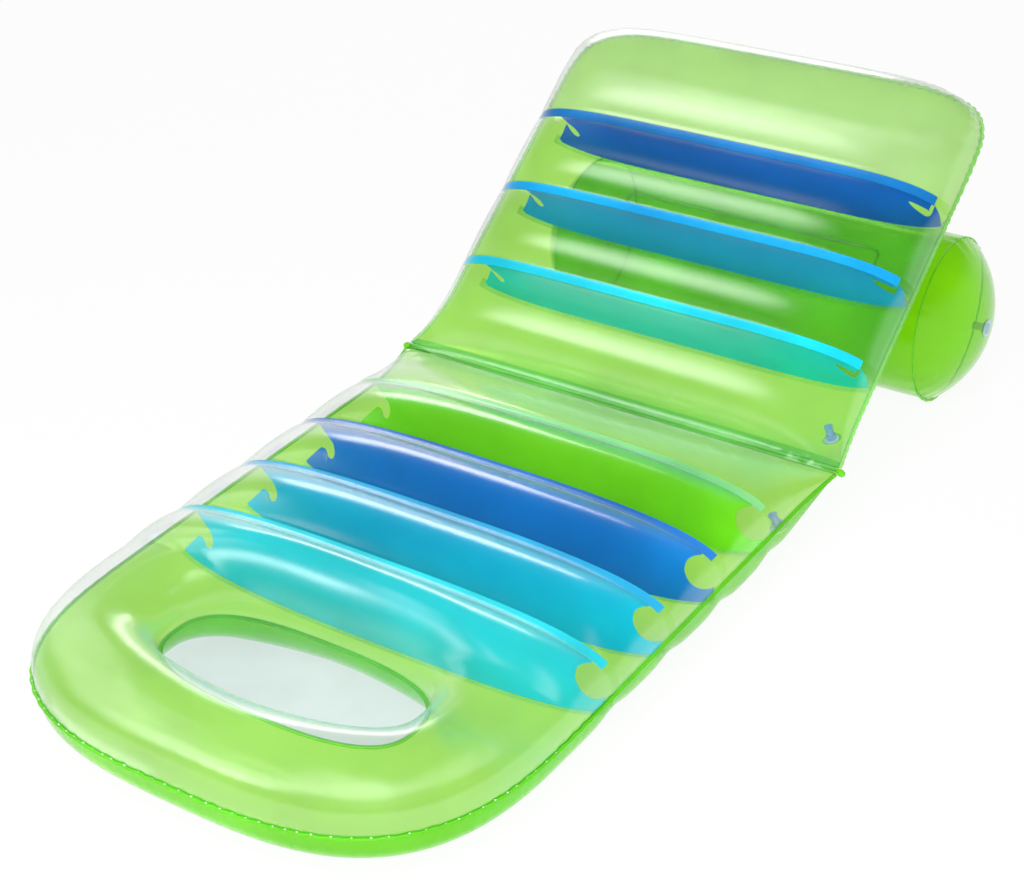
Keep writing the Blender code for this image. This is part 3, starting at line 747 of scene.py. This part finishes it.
def weld_band(mesh, line, place, heights, width, thick, seed, wave, depth):
    """A flat welded strip outside an outline, with a slightly scalloped edge."""
    inner_dir = inward(line)
    steps = distances(line)
    reach = width - scallop(steps, wave, depth, seed)
    wave_z = 0.0004 * curve_noise(steps, seed + 1, 0.012)
    profile = ((-0.0012, thick), (0.35, thick * 1.15), (1.0, thick * 0.4), (1.0, -thick * 0.4),
               (0.35, -thick * 1.15), (-0.0012, -thick))
    lines = []
    for share, z in profile:
        out = reach * share if share > 0 else np.full_like(reach, share)
        points = line - inner_dir * out[:, None]
        lines.append(place(points[:, 0], points[:, 1], heights + z + wave_z * max(share, 0)))
    lines.append(lines[0])
    swapped = np.stack(lines, axis=1)
    made = add_grid(mesh, [list(row) for row in swapped])
    mesh.faces.new(made[0][:-1])
    mesh.faces.new(made[-1][:-1][::-1])


weld_skin = skin * 0.7
seat_line = seat_side_outline()
back_line = back_outline()
back_line = np.stack(pulled_in(back_line[:, 0], back_line[:, 1]), axis=-1)
mesh = bmesh.new()
weld_band(mesh, seat_line, on_seat, seat.lift(seat_line[:, 1]), weld_width, weld_skin,
          7, 0.0105, 0.0009)
seat_weld = add_piece("seat_edge_weld", mesh, weld_look)
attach(seat_weld, "seat")
mesh = bmesh.new()
weld_band(mesh, back_line, on_back, back.lift(back_line[:, 1]) - back_fold_rise, weld_width,
          weld_skin, 8, 0.012, 0.0012)
back_weld = add_piece("back_edge_weld", mesh, pale_weld_look)
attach(back_weld, "back")


# Oval well
def oval(half_length, half_width):
    count = 160
    turns = np.linspace(0, 2 * math.pi, count, endpoint=False)
    x = half_length * squared(np.cos(turns), well_power)
    v = half_width * squared(np.sin(turns), well_power)
    line = np.stack([x, v], axis=-1)
    return evenly(np.concatenate([line, line[:1]]), count, endpoint=False)[0]


def well_ring(inset, height):
    line = oval(well_half_length - inset, well_half_width - inset)
    return on_seat(line[:, 0], line[:, 1] + well_place, height)


mesh = bmesh.new()
profile = ((-0.0008, skin), (0.002, skin * 0.9), (weld_width, 0.0), (0.002, -skin),
           (-0.0008, -skin))
lines = [well_ring(inset, z) for inset, z in profile]
lines = [np.concatenate([line, line[:1]]) for line in lines]
add_grid(mesh, lines + lines[:1])
well_weld = add_piece("well_weld", mesh, weld_look)
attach(well_weld, "seat")
mesh = bmesh.new()
lines = []
for inset, z in ((-0.0003, skin + 0.0003), (0.004, skin + 0.0002), (0.02, 0.0006),
                 (0.04, -0.0002), (0.06, -0.0008)):
    line = well_ring(inset, skin + z * 0.2)
    lines.append(np.concatenate([line, line[:1]]))
made = add_grid(mesh, lines)
mesh.faces.new(made[-1][:-1])
# Its look paints the shaded floor under the well into the window's tint
window = add_piece("well_window", mesh, window_painted_shade_look, up=(0, 0, 1))
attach(window, "seat")


# Webs
def smooth_line(points):
    """A rounded line through points."""
    steps = 6
    points = np.asarray(points, float)
    padded = np.concatenate([2 * points[:1] - points[1:2], points, 2 * points[-1:] - points[-2:-1]])
    found = []
    for a, b, c, d in zip(padded, padded[1:], padded[2:], padded[3:]):
        for i in range(steps):
            t = i / steps
            found.append(0.5 * (2 * b + (c - a) * t + (2 * a - 5 * b + 4 * c - d) * t ** 2
                                + (3 * b - a - 3 * c + d) * t ** 3))
    found.append(points[-1])
    return np.array(found)


# Cut-outs at the webs' ends: distances in from the end and down from the top, as shares of
# the cut-out's depth and of the end's height. A point given twice is a sharp corner.
claw = ((0.50, 0.0), (0.80, 0.10), (0.96, 0.25), (1.00, 0.42), (0.97, 0.56), (0.90, 0.67),
        (0.81, 0.70), (0.735, 0.655), (0.725, 0.58), (0.68, 0.49), (0.585, 0.47), (0.49, 0.52),
        (0.0, 0.96))
round_bite = ((0.23, 0.0), (0.35, 0.03), (0.48, 0.08), (0.68, 0.23), (0.755, 0.46), (0.70, 0.64),
              (0.60, 0.76), (0.46, 0.82), (0.30, 0.83), (0.12, 0.77), (0.0, 0.69), (0.0, 0.69),
              (0.0, 0.96))
thin_claw = ((0.70, 0.0), (0.88, 0.06), (1.00, 0.22), (1.06, 0.42), (1.03, 0.57), (0.94, 0.62),
             (0.86, 0.56), (0.82, 0.40), (0.81, 0.24), (0.80, 0.12), (0.80, 0.12), (0.66, 0.30),
             (0.42, 0.64), (0.17, 0.96))
fish_tail = ((0.05, 0.0), (0.05, 0.0), (0.27, 0.40), (0.27, 0.40), (0.50, 0.28), (0.74, 0.19),
             (0.79, 0.25), (0.72, 0.42), (0.56, 0.62), (0.42, 0.72), (0.26, 0.60), (0.05, 0.16),
             (0.05, 0.16), (0.0, 0.45), (0.02, 0.70), (0.08, 0.96))


def web_top(mat, place, x):
    return skin + mat.crown(x, place, 0.0) - film - 2 * gap


def web_hook(cuts, top_at, end_top):
    """One end of a web's outline, from its top to its bottom."""
    points = []
    for across, down in cuts:
        px = web_end - bite_depth * across
        points.append((px, end_top - 2 * end_top * down if down else top_at(px) - 0.001))
    points[-1] = (points[-1][0], -end_top + bite_tip)
    line = smooth_line(points)
    keep = [0] + [i for i in range(1, len(line)) if np.linalg.norm(line[i] - line[i - 1]) > 1e-5]
    return line[keep]


def add_web(name, mat, place, put, looks, body, seed, left_cuts, right_cuts):
    """A web's plate with its hooked ends, and the two strips welded to the films."""
    thick = 0.0004
    overlap = 0.0003
    x = np.concatenate([np.linspace(-web_end, -0.25, 22), np.linspace(-0.25, 0.25, 41)[1:-1],
                        np.linspace(0.25, web_end, 22)])
    tops = web_top(mat, place, x)

    def top_at(value):
        return float(np.interp(value, x, tops))

    end_top = top_at(web_end)
    right = web_hook(right_cuts, top_at, end_top)
    left = web_hook(left_cuts, top_at, end_top)
    lower = [(px, -top_at(px) + overlap) for px in x[::-1]
             if -left[-1][0] + 0.001 < px < right[-1][0] - 0.001]
    upper = [(px, top_at(px) - overlap) for px in x
             if -left[0][0] + 0.002 < px < right[0][0] - 0.002]
    outline = [tuple(p) for p in right] + [(right[-1][0], -top_at(right[-1][0]) + overlap)]
    outline += lower + [(-left[-1][0], -top_at(left[-1][0]) + overlap)]
    outline += [(-px, z) for px, z in left[::-1]] + upper
    inside = []
    for px in np.arange(-0.30, 0.301, 0.010):
        t = top_at(px)
        for pz in np.arange(-t + 0.008, t - 0.006, 0.010):
            inside.append((px + 0.003 * math.sin(pz * 900), pz))
    verts = [Vector(p) for p in outline + inside]
    places, _, faces = delaunay_2d_cdt(verts, [], [list(range(len(outline)))], 1, 1e-6)[:3]
    mesh = bmesh.new()
    flat = np.array([tuple(p) for p in places])
    taken = flat[:, 1] / np.maximum(np.interp(flat[:, 0], x, tops), 1e-4)
    loose = np.clip(1 - taken ** 2, 0, 1)
    near_end = np.clip((np.abs(flat[:, 0]) - 0.20) / 0.12, 0, 1)
    fine = curve_noise(flat[:, 0] + 0.2 * flat[:, 1], seed + 2, 0.012)
    sway = loose * (0.0016 * curve_noise(flat[:, 0], seed, 0.045) + 0.0022 * near_end * fine)
    for side in (-1, 1):
        made = [mesh.verts.new(put(p[0], place - s - side * thick, p[1]))
                for p, s in zip(flat, sway)]
        for face in faces:
            mesh.faces.new([made[i] for i in (face if side < 0 else face[::-1])])
        if side < 0:
            first = made
    edges = {}
    for face in faces:
        for pair in zip(face, list(face[1:]) + [face[0]]):
            edges[frozenset(pair)] = edges.get(frozenset(pair), 0) + 1
    for pair, times in edges.items():
        if times == 1:
            a, b = pair
            mesh.faces.new((first[a], first[b], made[b], made[a]))
    half = web_flange / 2
    for sign in (1, -1):
        lines = []
        for px, t in zip(x, tops):
            ends = [put(px, place - dy, sign * (t + dz)) for dy, dz in
                    ((-half, 0), (half, 0), (half, -thick * 2), (-half, -thick * 2))]
            lines.append(ends + ends[:1])
        before = len(mesh.faces)
        made = add_grid(mesh, lines)
        mesh.faces.new(made[0][:-1])
        mesh.faces.new(made[-1][:-1])
        mesh.faces.ensure_lookup_table()
        for face in mesh.faces[before:]:
            face.material_index = 1 if sign > 0 else 2
    piece = add_piece(name + "_film", mesh, looks)
    piece.data.set_sharp_from_angle(angle=math.radians(40))
    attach(piece, body)
    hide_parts(name)
    return piece


def put_seat(x, v, height):
    return Vector((x, fold_y - v, seam_height + height))


def put_back(x, v, height):
    return Vector(on_back(x, v, height - back_fold_rise))


for index, (name, colours) in enumerate(web_colours.items()):
    looks = web_looks(name + "_vinyl", *colours)
    if name.startswith("seat"):
        add_web(name, seat, seat_webs[index], put_seat, looks, "seat", 11 + index,
                claw, round_bite)
    else:
        add_web(name, back, back_webs[index - len(seat_webs)], put_back, looks, "back",
                11 + index, thin_claw, fish_tail)


# Creases on the seat webs' left toes, coloured near-white as painted highlights
mesh = bmesh.new()
for web in seat_webs:
    end_top = float(web_top(seat, web, web_end))
    for across, low, high, lean in ((0.66, 0.55, 0.80, 0.05), (0.60, 0.60, 0.72, 0.03)):
        t = np.linspace(0, 1, 8)
        px = -web_end + bite_depth * (across + lean * np.sin(math.pi * t))
        height = end_top - 2 * end_top * (low + (high - low) * t)
        path = np.stack([px, np.full_like(px, fold_y - web - 0.0009), seam_height + height],
                        axis=-1)
        add_tube(mesh, path, 0.00045 * np.sin(math.pi * np.clip(t, 0.12, 0.88)), 6)
toe_creases = add_piece("seat_toe_creases", mesh, painted_glint_look)
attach(toe_creases, "seat")


# Fold: a welded line on each side, the rolled middle, the pressed band and a nub at each end
def add_tube_piece(name, path, radius, look, sides=8, **shape):
    mesh = bmesh.new()
    add_tube(mesh, path, radius, sides, **shape)
    return add_piece(name, mesh, look)


line_end = fold_half_width - 0.002
for name, body, mat, put, drop, seed in (
        ("fold_line_seat", "seat", seat, on_seat, 0.0, 21),
        ("fold_line_back", "back", back, on_back, back_fold_rise, 22)):
    x = np.linspace(-line_end, line_end, 150)
    v = fold_edge + 0.0006 * curve_noise(x, seed, 0.03)
    path = put(x, v, mat.lift(v) - drop + skin + 0.0003)
    piece = add_tube_piece(name, path, 0.0007, line_look, squash=0.5)
    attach(piece, body)

x = np.linspace(-fold_half_width, fold_half_width, 121)
path = np.stack([x, fold_y + 0.0006 * curve_noise(x, 23, 0.02),
                 fold_height + 0.0002 * curve_noise(x, 24, 0.015)], axis=-1)
fold_roll = add_tube_piece("fold_roll", path, 0.0010, band_look)
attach(fold_roll, "seat")
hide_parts("fold_bead")

# Pressed band over the fold, creased more towards its right end
mesh = bmesh.new()
lines = []
band_end = fold_half_width - 0.003
x = np.linspace(-band_end, band_end, 260)
seat_edge = on_seat(x, fold_edge, seat.lift(fold_edge) + skin + 0.0009)
v = fold_edge + 0.0075
back_edge = on_back(x, v, float(back.lift(v)) - back_fold_rise + back.crown(x, v, top_bulge)
                    + skin + 0.0009)
for share in np.arange(10) / 9:
    arch = math.sin(math.pi * share)
    strength = 0.0001 + 0.0015 * np.clip((x - 0.20) / 0.1, 0, 1)
    crease = (field_noise(x, share * 0.02, 51, 0.012)
              + 0.7 * field_noise(x, share * 0.02, 53, 0.005))
    line = seat_edge * (1 - share) + back_edge * share
    line[:, 2] += 0.0016 * arch + crease * strength * arch
    lines.append(line)
add_grid(mesh, lines)
fold_band = add_piece("fold_band", mesh, band_look, up=(0, 0, 1))
bend_at_fold(fold_band)

# Tucked tip of green film at the fold's left end
steps = np.linspace(0, 1, 16)
path = np.stack([-0.337 + 0.036 * steps, fold_y - 0.0075 + 0.003 * steps,
                 fold_height + 0.0028 - 0.001 * steps], axis=-1)
tuck = add_tube_piece("fold_tuck_left", path, 0.0003 + 0.0019 * np.sin(math.pi * steps) ** 0.7,
                      line_look, 10, squash=0.6)
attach(tuck, "seat")

nub_start = fold_half_width - 0.004
nub_length = 0.0135
for name, side in (("fold_nub_left", -1), ("fold_nub_right", 1)):
    steps = np.linspace(0, 1, 18)
    path = np.stack([side * (nub_start + nub_length * steps), fold_y + 0.001 * np.sin(steps * 3),
                     fold_height - 0.0035 * steps ** 1.5], axis=-1)
    swell = 0.0014 + 0.0034 * np.sin(math.pi * np.clip(steps * 0.93, 0, 1)) ** 0.8
    swell = swell * (1 + 0.12 * np.sin(steps * 40))
    swell[-1] = 0.0012
    piece = add_tube_piece(name, path, swell, weld_look, 16)
    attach(piece, "seat")


# Pillow
def pillow_point(x, radius, turn):
    """A point of the pillow's outside in the back mat's frame. turn is from straight down."""
    down = turn - tilt
    along = radius * math.sin(down)
    height = -radius * math.cos(down)
    if height > 0:
        height = min(height, float(pillow_reach(x, along)))
    low = -pillow_centre_height
    world = along * math.sin(tilt) + height * math.cos(tilt)
    if world < low:
        # pressed flat on the floor
        along += (low - world) * math.sin(tilt)
        height += (low - world) * math.cos(tilt)
    return tuple(on_back(x, pillow_place + along, height - pillow_drop))


pillow_sides = 120
pillow_pucker = 0.0022
pillow_turns = [2 * math.pi * i / pillow_sides for i in range(pillow_sides)]


def pillow_ring(x, radius, pucker=0.0):
    ring = []
    for turn in pillow_turns:
        size = radius - pucker * abs(math.sin(17 * turn + 0.7 * math.sin(3 * turn)))
        ring.append(pillow_point(x, size, turn))
    return ring + ring[:1]


mesh = bmesh.new()
lines = []
for share in np.concatenate([-seam_dense(26, 1.8)[:0:-1], seam_dense(26, 1.8)]):
    near = math.exp(-(1 - abs(share)) * pillow_half_length / 0.012)
    lines.append(pillow_ring(pillow_shift + share * pillow_half_length, pillow_radius,
                             pillow_pucker * near))
add_grid(mesh, lines)
pillow_wall = add_piece("pillow_wall_film", mesh, pillow_look)
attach(pillow_wall, "back")
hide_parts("pillow_wall")
ball = (pillow_radius ** 2 + pillow_dome ** 2) / (2 * pillow_dome)
for side, name in ((-1, "pillow_end_left"), (1, "pillow_end_right")):
    mesh = bmesh.new()
    lines = []
    for share in seam_dense(26, 1.7)[::-1][:-1]:
        radius = pillow_radius * share
        rise = math.sqrt(ball ** 2 - radius ** 2) - ball + pillow_dome
        near = math.exp(-(pillow_radius - radius) / 0.014)
        lines.append(pillow_ring(pillow_shift + side * (pillow_half_length + rise), radius,
                                 pillow_pucker * near))
    made = add_grid(mesh, lines)
    apex = mesh.verts.new(on_back(pillow_shift + side * (pillow_half_length + pillow_dome),
                                  pillow_place, -pillow_drop))
    for i in range(pillow_sides):
        mesh.faces.new((made[-1][i], made[-1][i + 1], apex))
    if side > 0:
        bmesh.ops.remove_doubles(mesh, verts=mesh.verts, dist=2e-6)
        open_for_valve(mesh, *valves[2][1:3])
    piece = add_piece(name + "_film", mesh, pillow_look)
    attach(piece, "back")
    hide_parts(name)
    mesh = bmesh.new()
    lines = []
    for dx, dr in ((-0.0009, -0.0004), (-0.0009, 0.0026), (0.0, 0.0034), (0.0009, 0.0026),
                   (0.0009, -0.0004)):
        lines.append(pillow_ring(pillow_shift + side * (pillow_half_length + dx),
                                 pillow_radius + dr, 0.0012))
    add_grid(mesh, lines + lines[:1])
    piece = add_piece(name + "_ring", mesh, weld_look)
    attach(piece, "back")


def patch_line(grow, height):
    points = []
    count = 10
    radius = patch_corner + grow
    for quarter, (sx, sy) in enumerate(((1, 1), (-1, 1), (-1, -1), (1, -1))):
        for step in range(count + 1):
            angle = math.pi / 2 * (quarter + step / count)
            x = sx * (patch_half_length - patch_corner) + radius * math.cos(angle)
            y = sy * (patch_half_width - patch_corner) + radius * math.sin(angle)
            points.append(tuple(on_back(pillow_shift + x, pillow_place + y, height)))
    return points + points[:1]


patch_top = pillow_radius - pillow_press + gap + film - pillow_drop
mesh = bmesh.new()
lines = [patch_line(grow, patch_top + z) for grow, z in
         ((0.0015, -0.0006), (0.0015, 0.0002), (-0.0005, 0.0004), (-0.0025, 0.0002),
          (-0.003, -0.0006))]
add_grid(mesh, lines + lines[:1])
patch_weld = add_piece("pillow_patch_weld", mesh, patch_look)
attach(patch_weld, "back")
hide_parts("pillow_weld_patch")


# Valves
def turned(name, profile, closed, look, place, axis, body, node):
    """A round piece of a valve from its profile of radii and heights over the film."""
    mesh = bmesh.new()
    spin = Vector(axis).to_track_quat("Z", "Y").to_matrix()
    lines = []
    turns = np.linspace(0, 2 * math.pi, valve_sides + 1)
    for radius, height in profile:
        ring = [Vector((radius * math.cos(t), radius * math.sin(t), height)) for t in turns]
        lines.append([spin @ point + Vector(place) for point in ring])
    if closed:
        lines.append(lines[0])
    add_grid(mesh, lines)
    piece = add_piece(name, mesh, look)
    piece.data.set_sharp_from_angle(angle=math.radians(35))
    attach(piece, body)
    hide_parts(node)
    return piece


valve_sides = 40
throat = 0.0078
throat_inside = 0.0068
stem_radius = 0.0054
stem_bore = 0.0036
top = 0.0015
stem_top = top - 0.0015 - gap
stem_low = stem_top - 0.0192
collar = stem_radius + 0.001
pin = stem_bore - gap
head = throat_inside - 2 * gap
base_profile = (
    (0.0130, gap), (0.0131, 0.0009), (0.0128, top - 0.0002), (0.0122, top), (0.0098, top + 0.0001),
    (0.0088, top + 0.0004), (throat_inside + 0.0004, top + 0.0004), (throat_inside, top),
    (throat_inside, -0.005), (stem_radius + gap, -0.005), (stem_radius + gap, -0.006),
    (throat - 0.0004, -0.006), (throat, -0.0055), (throat, gap))
stem_profile = (
    (0.0, stem_low), (collar - 0.0004, stem_low), (collar, stem_low + 0.0003),
    (collar, stem_low + 0.0010), (stem_radius, stem_low + 0.0014), (stem_radius, stem_low + 0.008),
    (stem_radius + 0.0003, stem_low + 0.0083), (stem_radius, stem_low + 0.0087),
    (stem_radius, stem_top), (stem_bore, stem_top), (stem_bore, stem_low + 0.001),
    (0.0, stem_low + 0.001))
plug_profile = (
    (0.0, stem_top - 0.007), (pin - 0.0006, stem_top - 0.007), (pin, stem_top - 0.0062),
    (pin, stem_top + gap), (head - 0.0003, stem_top + gap), (head, stem_top + gap + 0.0003),
    (head, top - 0.0003), (head - 0.0004, top), (0.003, top), (0.0026, top - 0.0004),
    (0.0, top - 0.0004))
for prefix, place, axis, body in valves:
    turned(prefix + "_valve_flange", base_profile, True, flange_look, place, axis, body,
           prefix + "_valve_base")
    turned(prefix + "_valve_tube", stem_profile, False, valve_look, place, axis,
           prefix + "_stem", prefix + "_valve_stem")
    turned(prefix + "_valve_cap", plug_profile, False, valve_look, place, axis,
           prefix + "_plug", prefix + "_valve_plug")


# Small blisters of trapped air along the foot's seam, coloured near-white as painted glints
mesh = bmesh.new()
steps = np.cumsum(0.013 + 0.009 * (0.5 + 0.5 * curve_noise(np.arange(200) * 1.0, 31, 1.0)))
steps = steps[(steps > 0.10) & (steps < foot_along[-1] - 0.10)]
for i, step in enumerate(steps):
    px, pv = (float(np.interp(step, foot_along, foot_seam[:, j])) for j in (0, 1))
    nx, nv = (float(np.interp(step, foot_along, foot_in[:, j])) for j in (0, 1))
    size = 0.0007 + 0.0008 * abs(float(curve_noise(i * 1.0, 33, 1.0)))
    centre = Vector((px - nx * 0.0012, fold_y - (pv - nv * 0.0012), seam_height + skin + 0.0001))
    made = bmesh.ops.create_icosphere(mesh, subdivisions=2, radius=size)
    bmesh.ops.scale(mesh, vec=(1.2, 1.0, 0.55), verts=made["verts"])
    bmesh.ops.translate(mesh, vec=centre, verts=made["verts"])
painted_glints = add_piece("foot_seam_blisters", mesh, painted_glint_look)
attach(painted_glints, "seat")
nip = 0.0014 * (scallop(foot_along, 0.026, 1.0, 61) ** 2)
plan = foot_seam + foot_in * (nip - 0.0006)[:, None]
path = on_seat(plan[:, 0], plan[:, 1], skin + 0.0004 + nip * 0.5)
fine = np.linspace(0, len(path) - 1, 700)
path = np.stack([np.interp(fine, np.arange(len(path)), path[:, i]) for i in range(3)], axis=-1)
foot_line = add_tube_piece("foot_seam_line", path, 0.0008, line_look, 6)
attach(foot_line, "seat")

# Studio: floor, world and lamps
def seen_share(tree):
    """1 for rays from the camera, from a mirror or through glass, and 0 for rays of light."""
    path = tree.nodes.new("ShaderNodeLightPath").outputs
    also = add_node(tree, "Math", {0: path["Is Glossy Ray"], 1: path["Is Transmission Ray"]},
                    "MAXIMUM")
    return add_node(tree, "Math", {0: path["Is Camera Ray"], 1: also}, "MAXIMUM")


def add_floor():
    made, tree = new_material("studio_floor")
    lit = add_node(tree, "BsdfDiffuse", {"Color": (0.9, 0.9, 0.9, 1)})
    glow = add_node(tree, "Emission", {"Color": (1, 1, 1, 1)})
    white = add_node(tree, "Math", {0: seen_share(tree), 1: 0.92}, "MULTIPLY")
    shown = add_node(tree, "MixShader", {"Fac": white, 1: lit, 2: glow})
    add_node(tree, "OutputMaterial", {"Surface": shown})
    mesh = bmesh.new()
    bmesh.ops.create_circle(mesh, cap_ends=True, segments=96, radius=9.0)
    data = bpy.data.meshes.new("studio_floor")
    mesh.to_mesh(data)
    mesh.free()
    data.materials.append(made)
    floor = bpy.data.objects.new("studio_floor", data)
    floor.location = (0, 0, -0.0004)
    bpy.context.collection.objects.link(floor)
    floor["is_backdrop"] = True


def add_world():
    """White low down, where the backdrop is seen, and dark above in reflections."""
    world = bpy.data.worlds.new("studio")
    bpy.context.scene.world = world
    world.use_nodes = True
    tree = world.node_tree
    tree.nodes.clear()
    place = add_node(tree, "TexCoord", {}, out="Generated")
    height = add_node(tree, "SeparateXYZ", {0: place}, out="Z")
    colour = add_ramp(tree, height, ((0.17, (1, 1, 1, 1)), (0.41, (0.04, 0.04, 0.045, 1))))
    shown = add_node(tree, "Background", {"Color": colour})
    fill = add_node(tree, "Background", {"Color": (0.38, 0.38, 0.38, 1)})
    share = add_node(tree, "MixShader", {"Fac": seen_share(tree), 1: fill, 2: shown})
    add_node(tree, "OutputWorld", {"Surface": share})


def add_lamp(name, place, aim, width, height, radiance, spread=180.0, mirrored=True,
             lighting=True, along=None):
    """A soft box. radiance is its brightness along its axis, and spread narrows its beam.

    along is the way its width runs, level and square to its axis if none is given.
    """
    data = bpy.data.lights.new(name, "AREA")
    data.shape = "RECTANGLE"
    data.size = width
    data.size_y = height
    half = math.radians(spread) / 2
    data.spread = 2 * half
    narrowed = 1.0 if spread >= 180 else math.tan(half) / (math.tan(half) - half)
    data.energy = radiance * math.pi * width * height / narrowed
    lamp = bpy.data.objects.new(name, data)
    bpy.context.collection.objects.link(lamp)
    lamp.location = place
    away = (Vector(place) - Vector(aim)).normalized()
    right = Vector(along) if along else Vector((0, 0, 1)).cross(away)
    right = (right - away * right.dot(away)).normalized()
    lamp.rotation_mode = "QUATERNION"
    lamp.rotation_quaternion = Matrix((right, away.cross(right), away)).transposed().to_quaternion()
    lamp.visible_glossy = mirrored
    lamp.visible_diffuse = lighting
    lamp.visible_camera = False


add_floor()
add_world()
add_lamp("soft_box_low", (-2.5, 4.0, 1.75), (0, 0, 0.14), 2.6, 0.8, 5.4)
add_lamp("back_box", (-1.88, -1.63, 3.04), (0, 0.66, 0.36), 2.2, 1.6, 6.8, spread=30,
         lighting=False)
add_lamp("top_box", (-0.16, 0.575, 0.61), (-0.036, 0.681, 0.396), 0.80, 0.14, 1.9, spread=50,
         lighting=False, along=(1, 0, 0))
for name, place, aim, width, height, radiance in (
        ("foot_box_a", (-1.40, -0.02, 0.93), (-0.27, -0.596, 0.127), 0.80, 0.70, 1.8),
        ("foot_box_b", (-1.02, -0.62, 1.02), (-0.16, -0.595, 0.12), 0.60, 0.80, 2.1),
        ("foot_box_c", (-0.48, -1.02, 1.006), (0.07, -0.69, 0.115), 0.90, 0.45, 2.7),
        ("foot_box_d", (0.20, -0.68, 1.01), (0.22, -0.58, 0.114), 0.80, 0.60, 3.6),
        ("foot_box_e", (0.55, -0.16, 0.96), (0.29, -0.50, 0.113), 0.50, 0.50, 1.7)):
    add_lamp(name, place, aim, width, height, radiance, spread=60, lighting=False, along=(1, 0, 0))
add_lamp("front_light", (1.1, -2.2, 2.75), (0, 0.1, 0.1), 2.6, 2.2, 7.6, mirrored=False)
add_lamp("low_light", (0.8, -3.0, 0.80), (0, 0.4, 0.2), 2.6, 1.4, 3.4, mirrored=False)


# Camera, fitted to the photograph
def add_camera():
    azimuth, elevation, roll = (math.radians(a) for a in (35.512, 31.0797, -2.8464))
    behind = Vector((math.sin(azimuth) * math.cos(elevation),
                     -math.cos(azimuth) * math.cos(elevation), math.sin(elevation)))
    right = Vector((0, 0, 1)).cross(behind).normalized()
    up = behind.cross(right)
    turned_right = right * math.cos(roll) + up * math.sin(roll)
    turned_up = -right * math.sin(roll) + up * math.cos(roll)
    data = bpy.data.cameras.new("camera")
    photo_width, focal_length_in_pixels = 1024.0, 2101.0
    data.sensor_width = 36.0
    data.lens = data.sensor_width * focal_length_in_pixels / photo_width
    data.clip_start, data.clip_end = 0.05, 60.0
    camera = bpy.data.objects.new("camera", data)
    bpy.context.collection.objects.link(camera)
    turn = Matrix((turned_right, turned_up, behind)).transposed()
    camera.matrix_world = Matrix.Translation((1.33696, -1.77159, 1.53681)) @ turn.to_4x4()
    bpy.context.scene.camera = camera


add_camera()
bpy.context.scene.view_settings.view_transform = "Standard"
bpy.context.scene.cycles.transparent_max_bounces = 32
low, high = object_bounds()
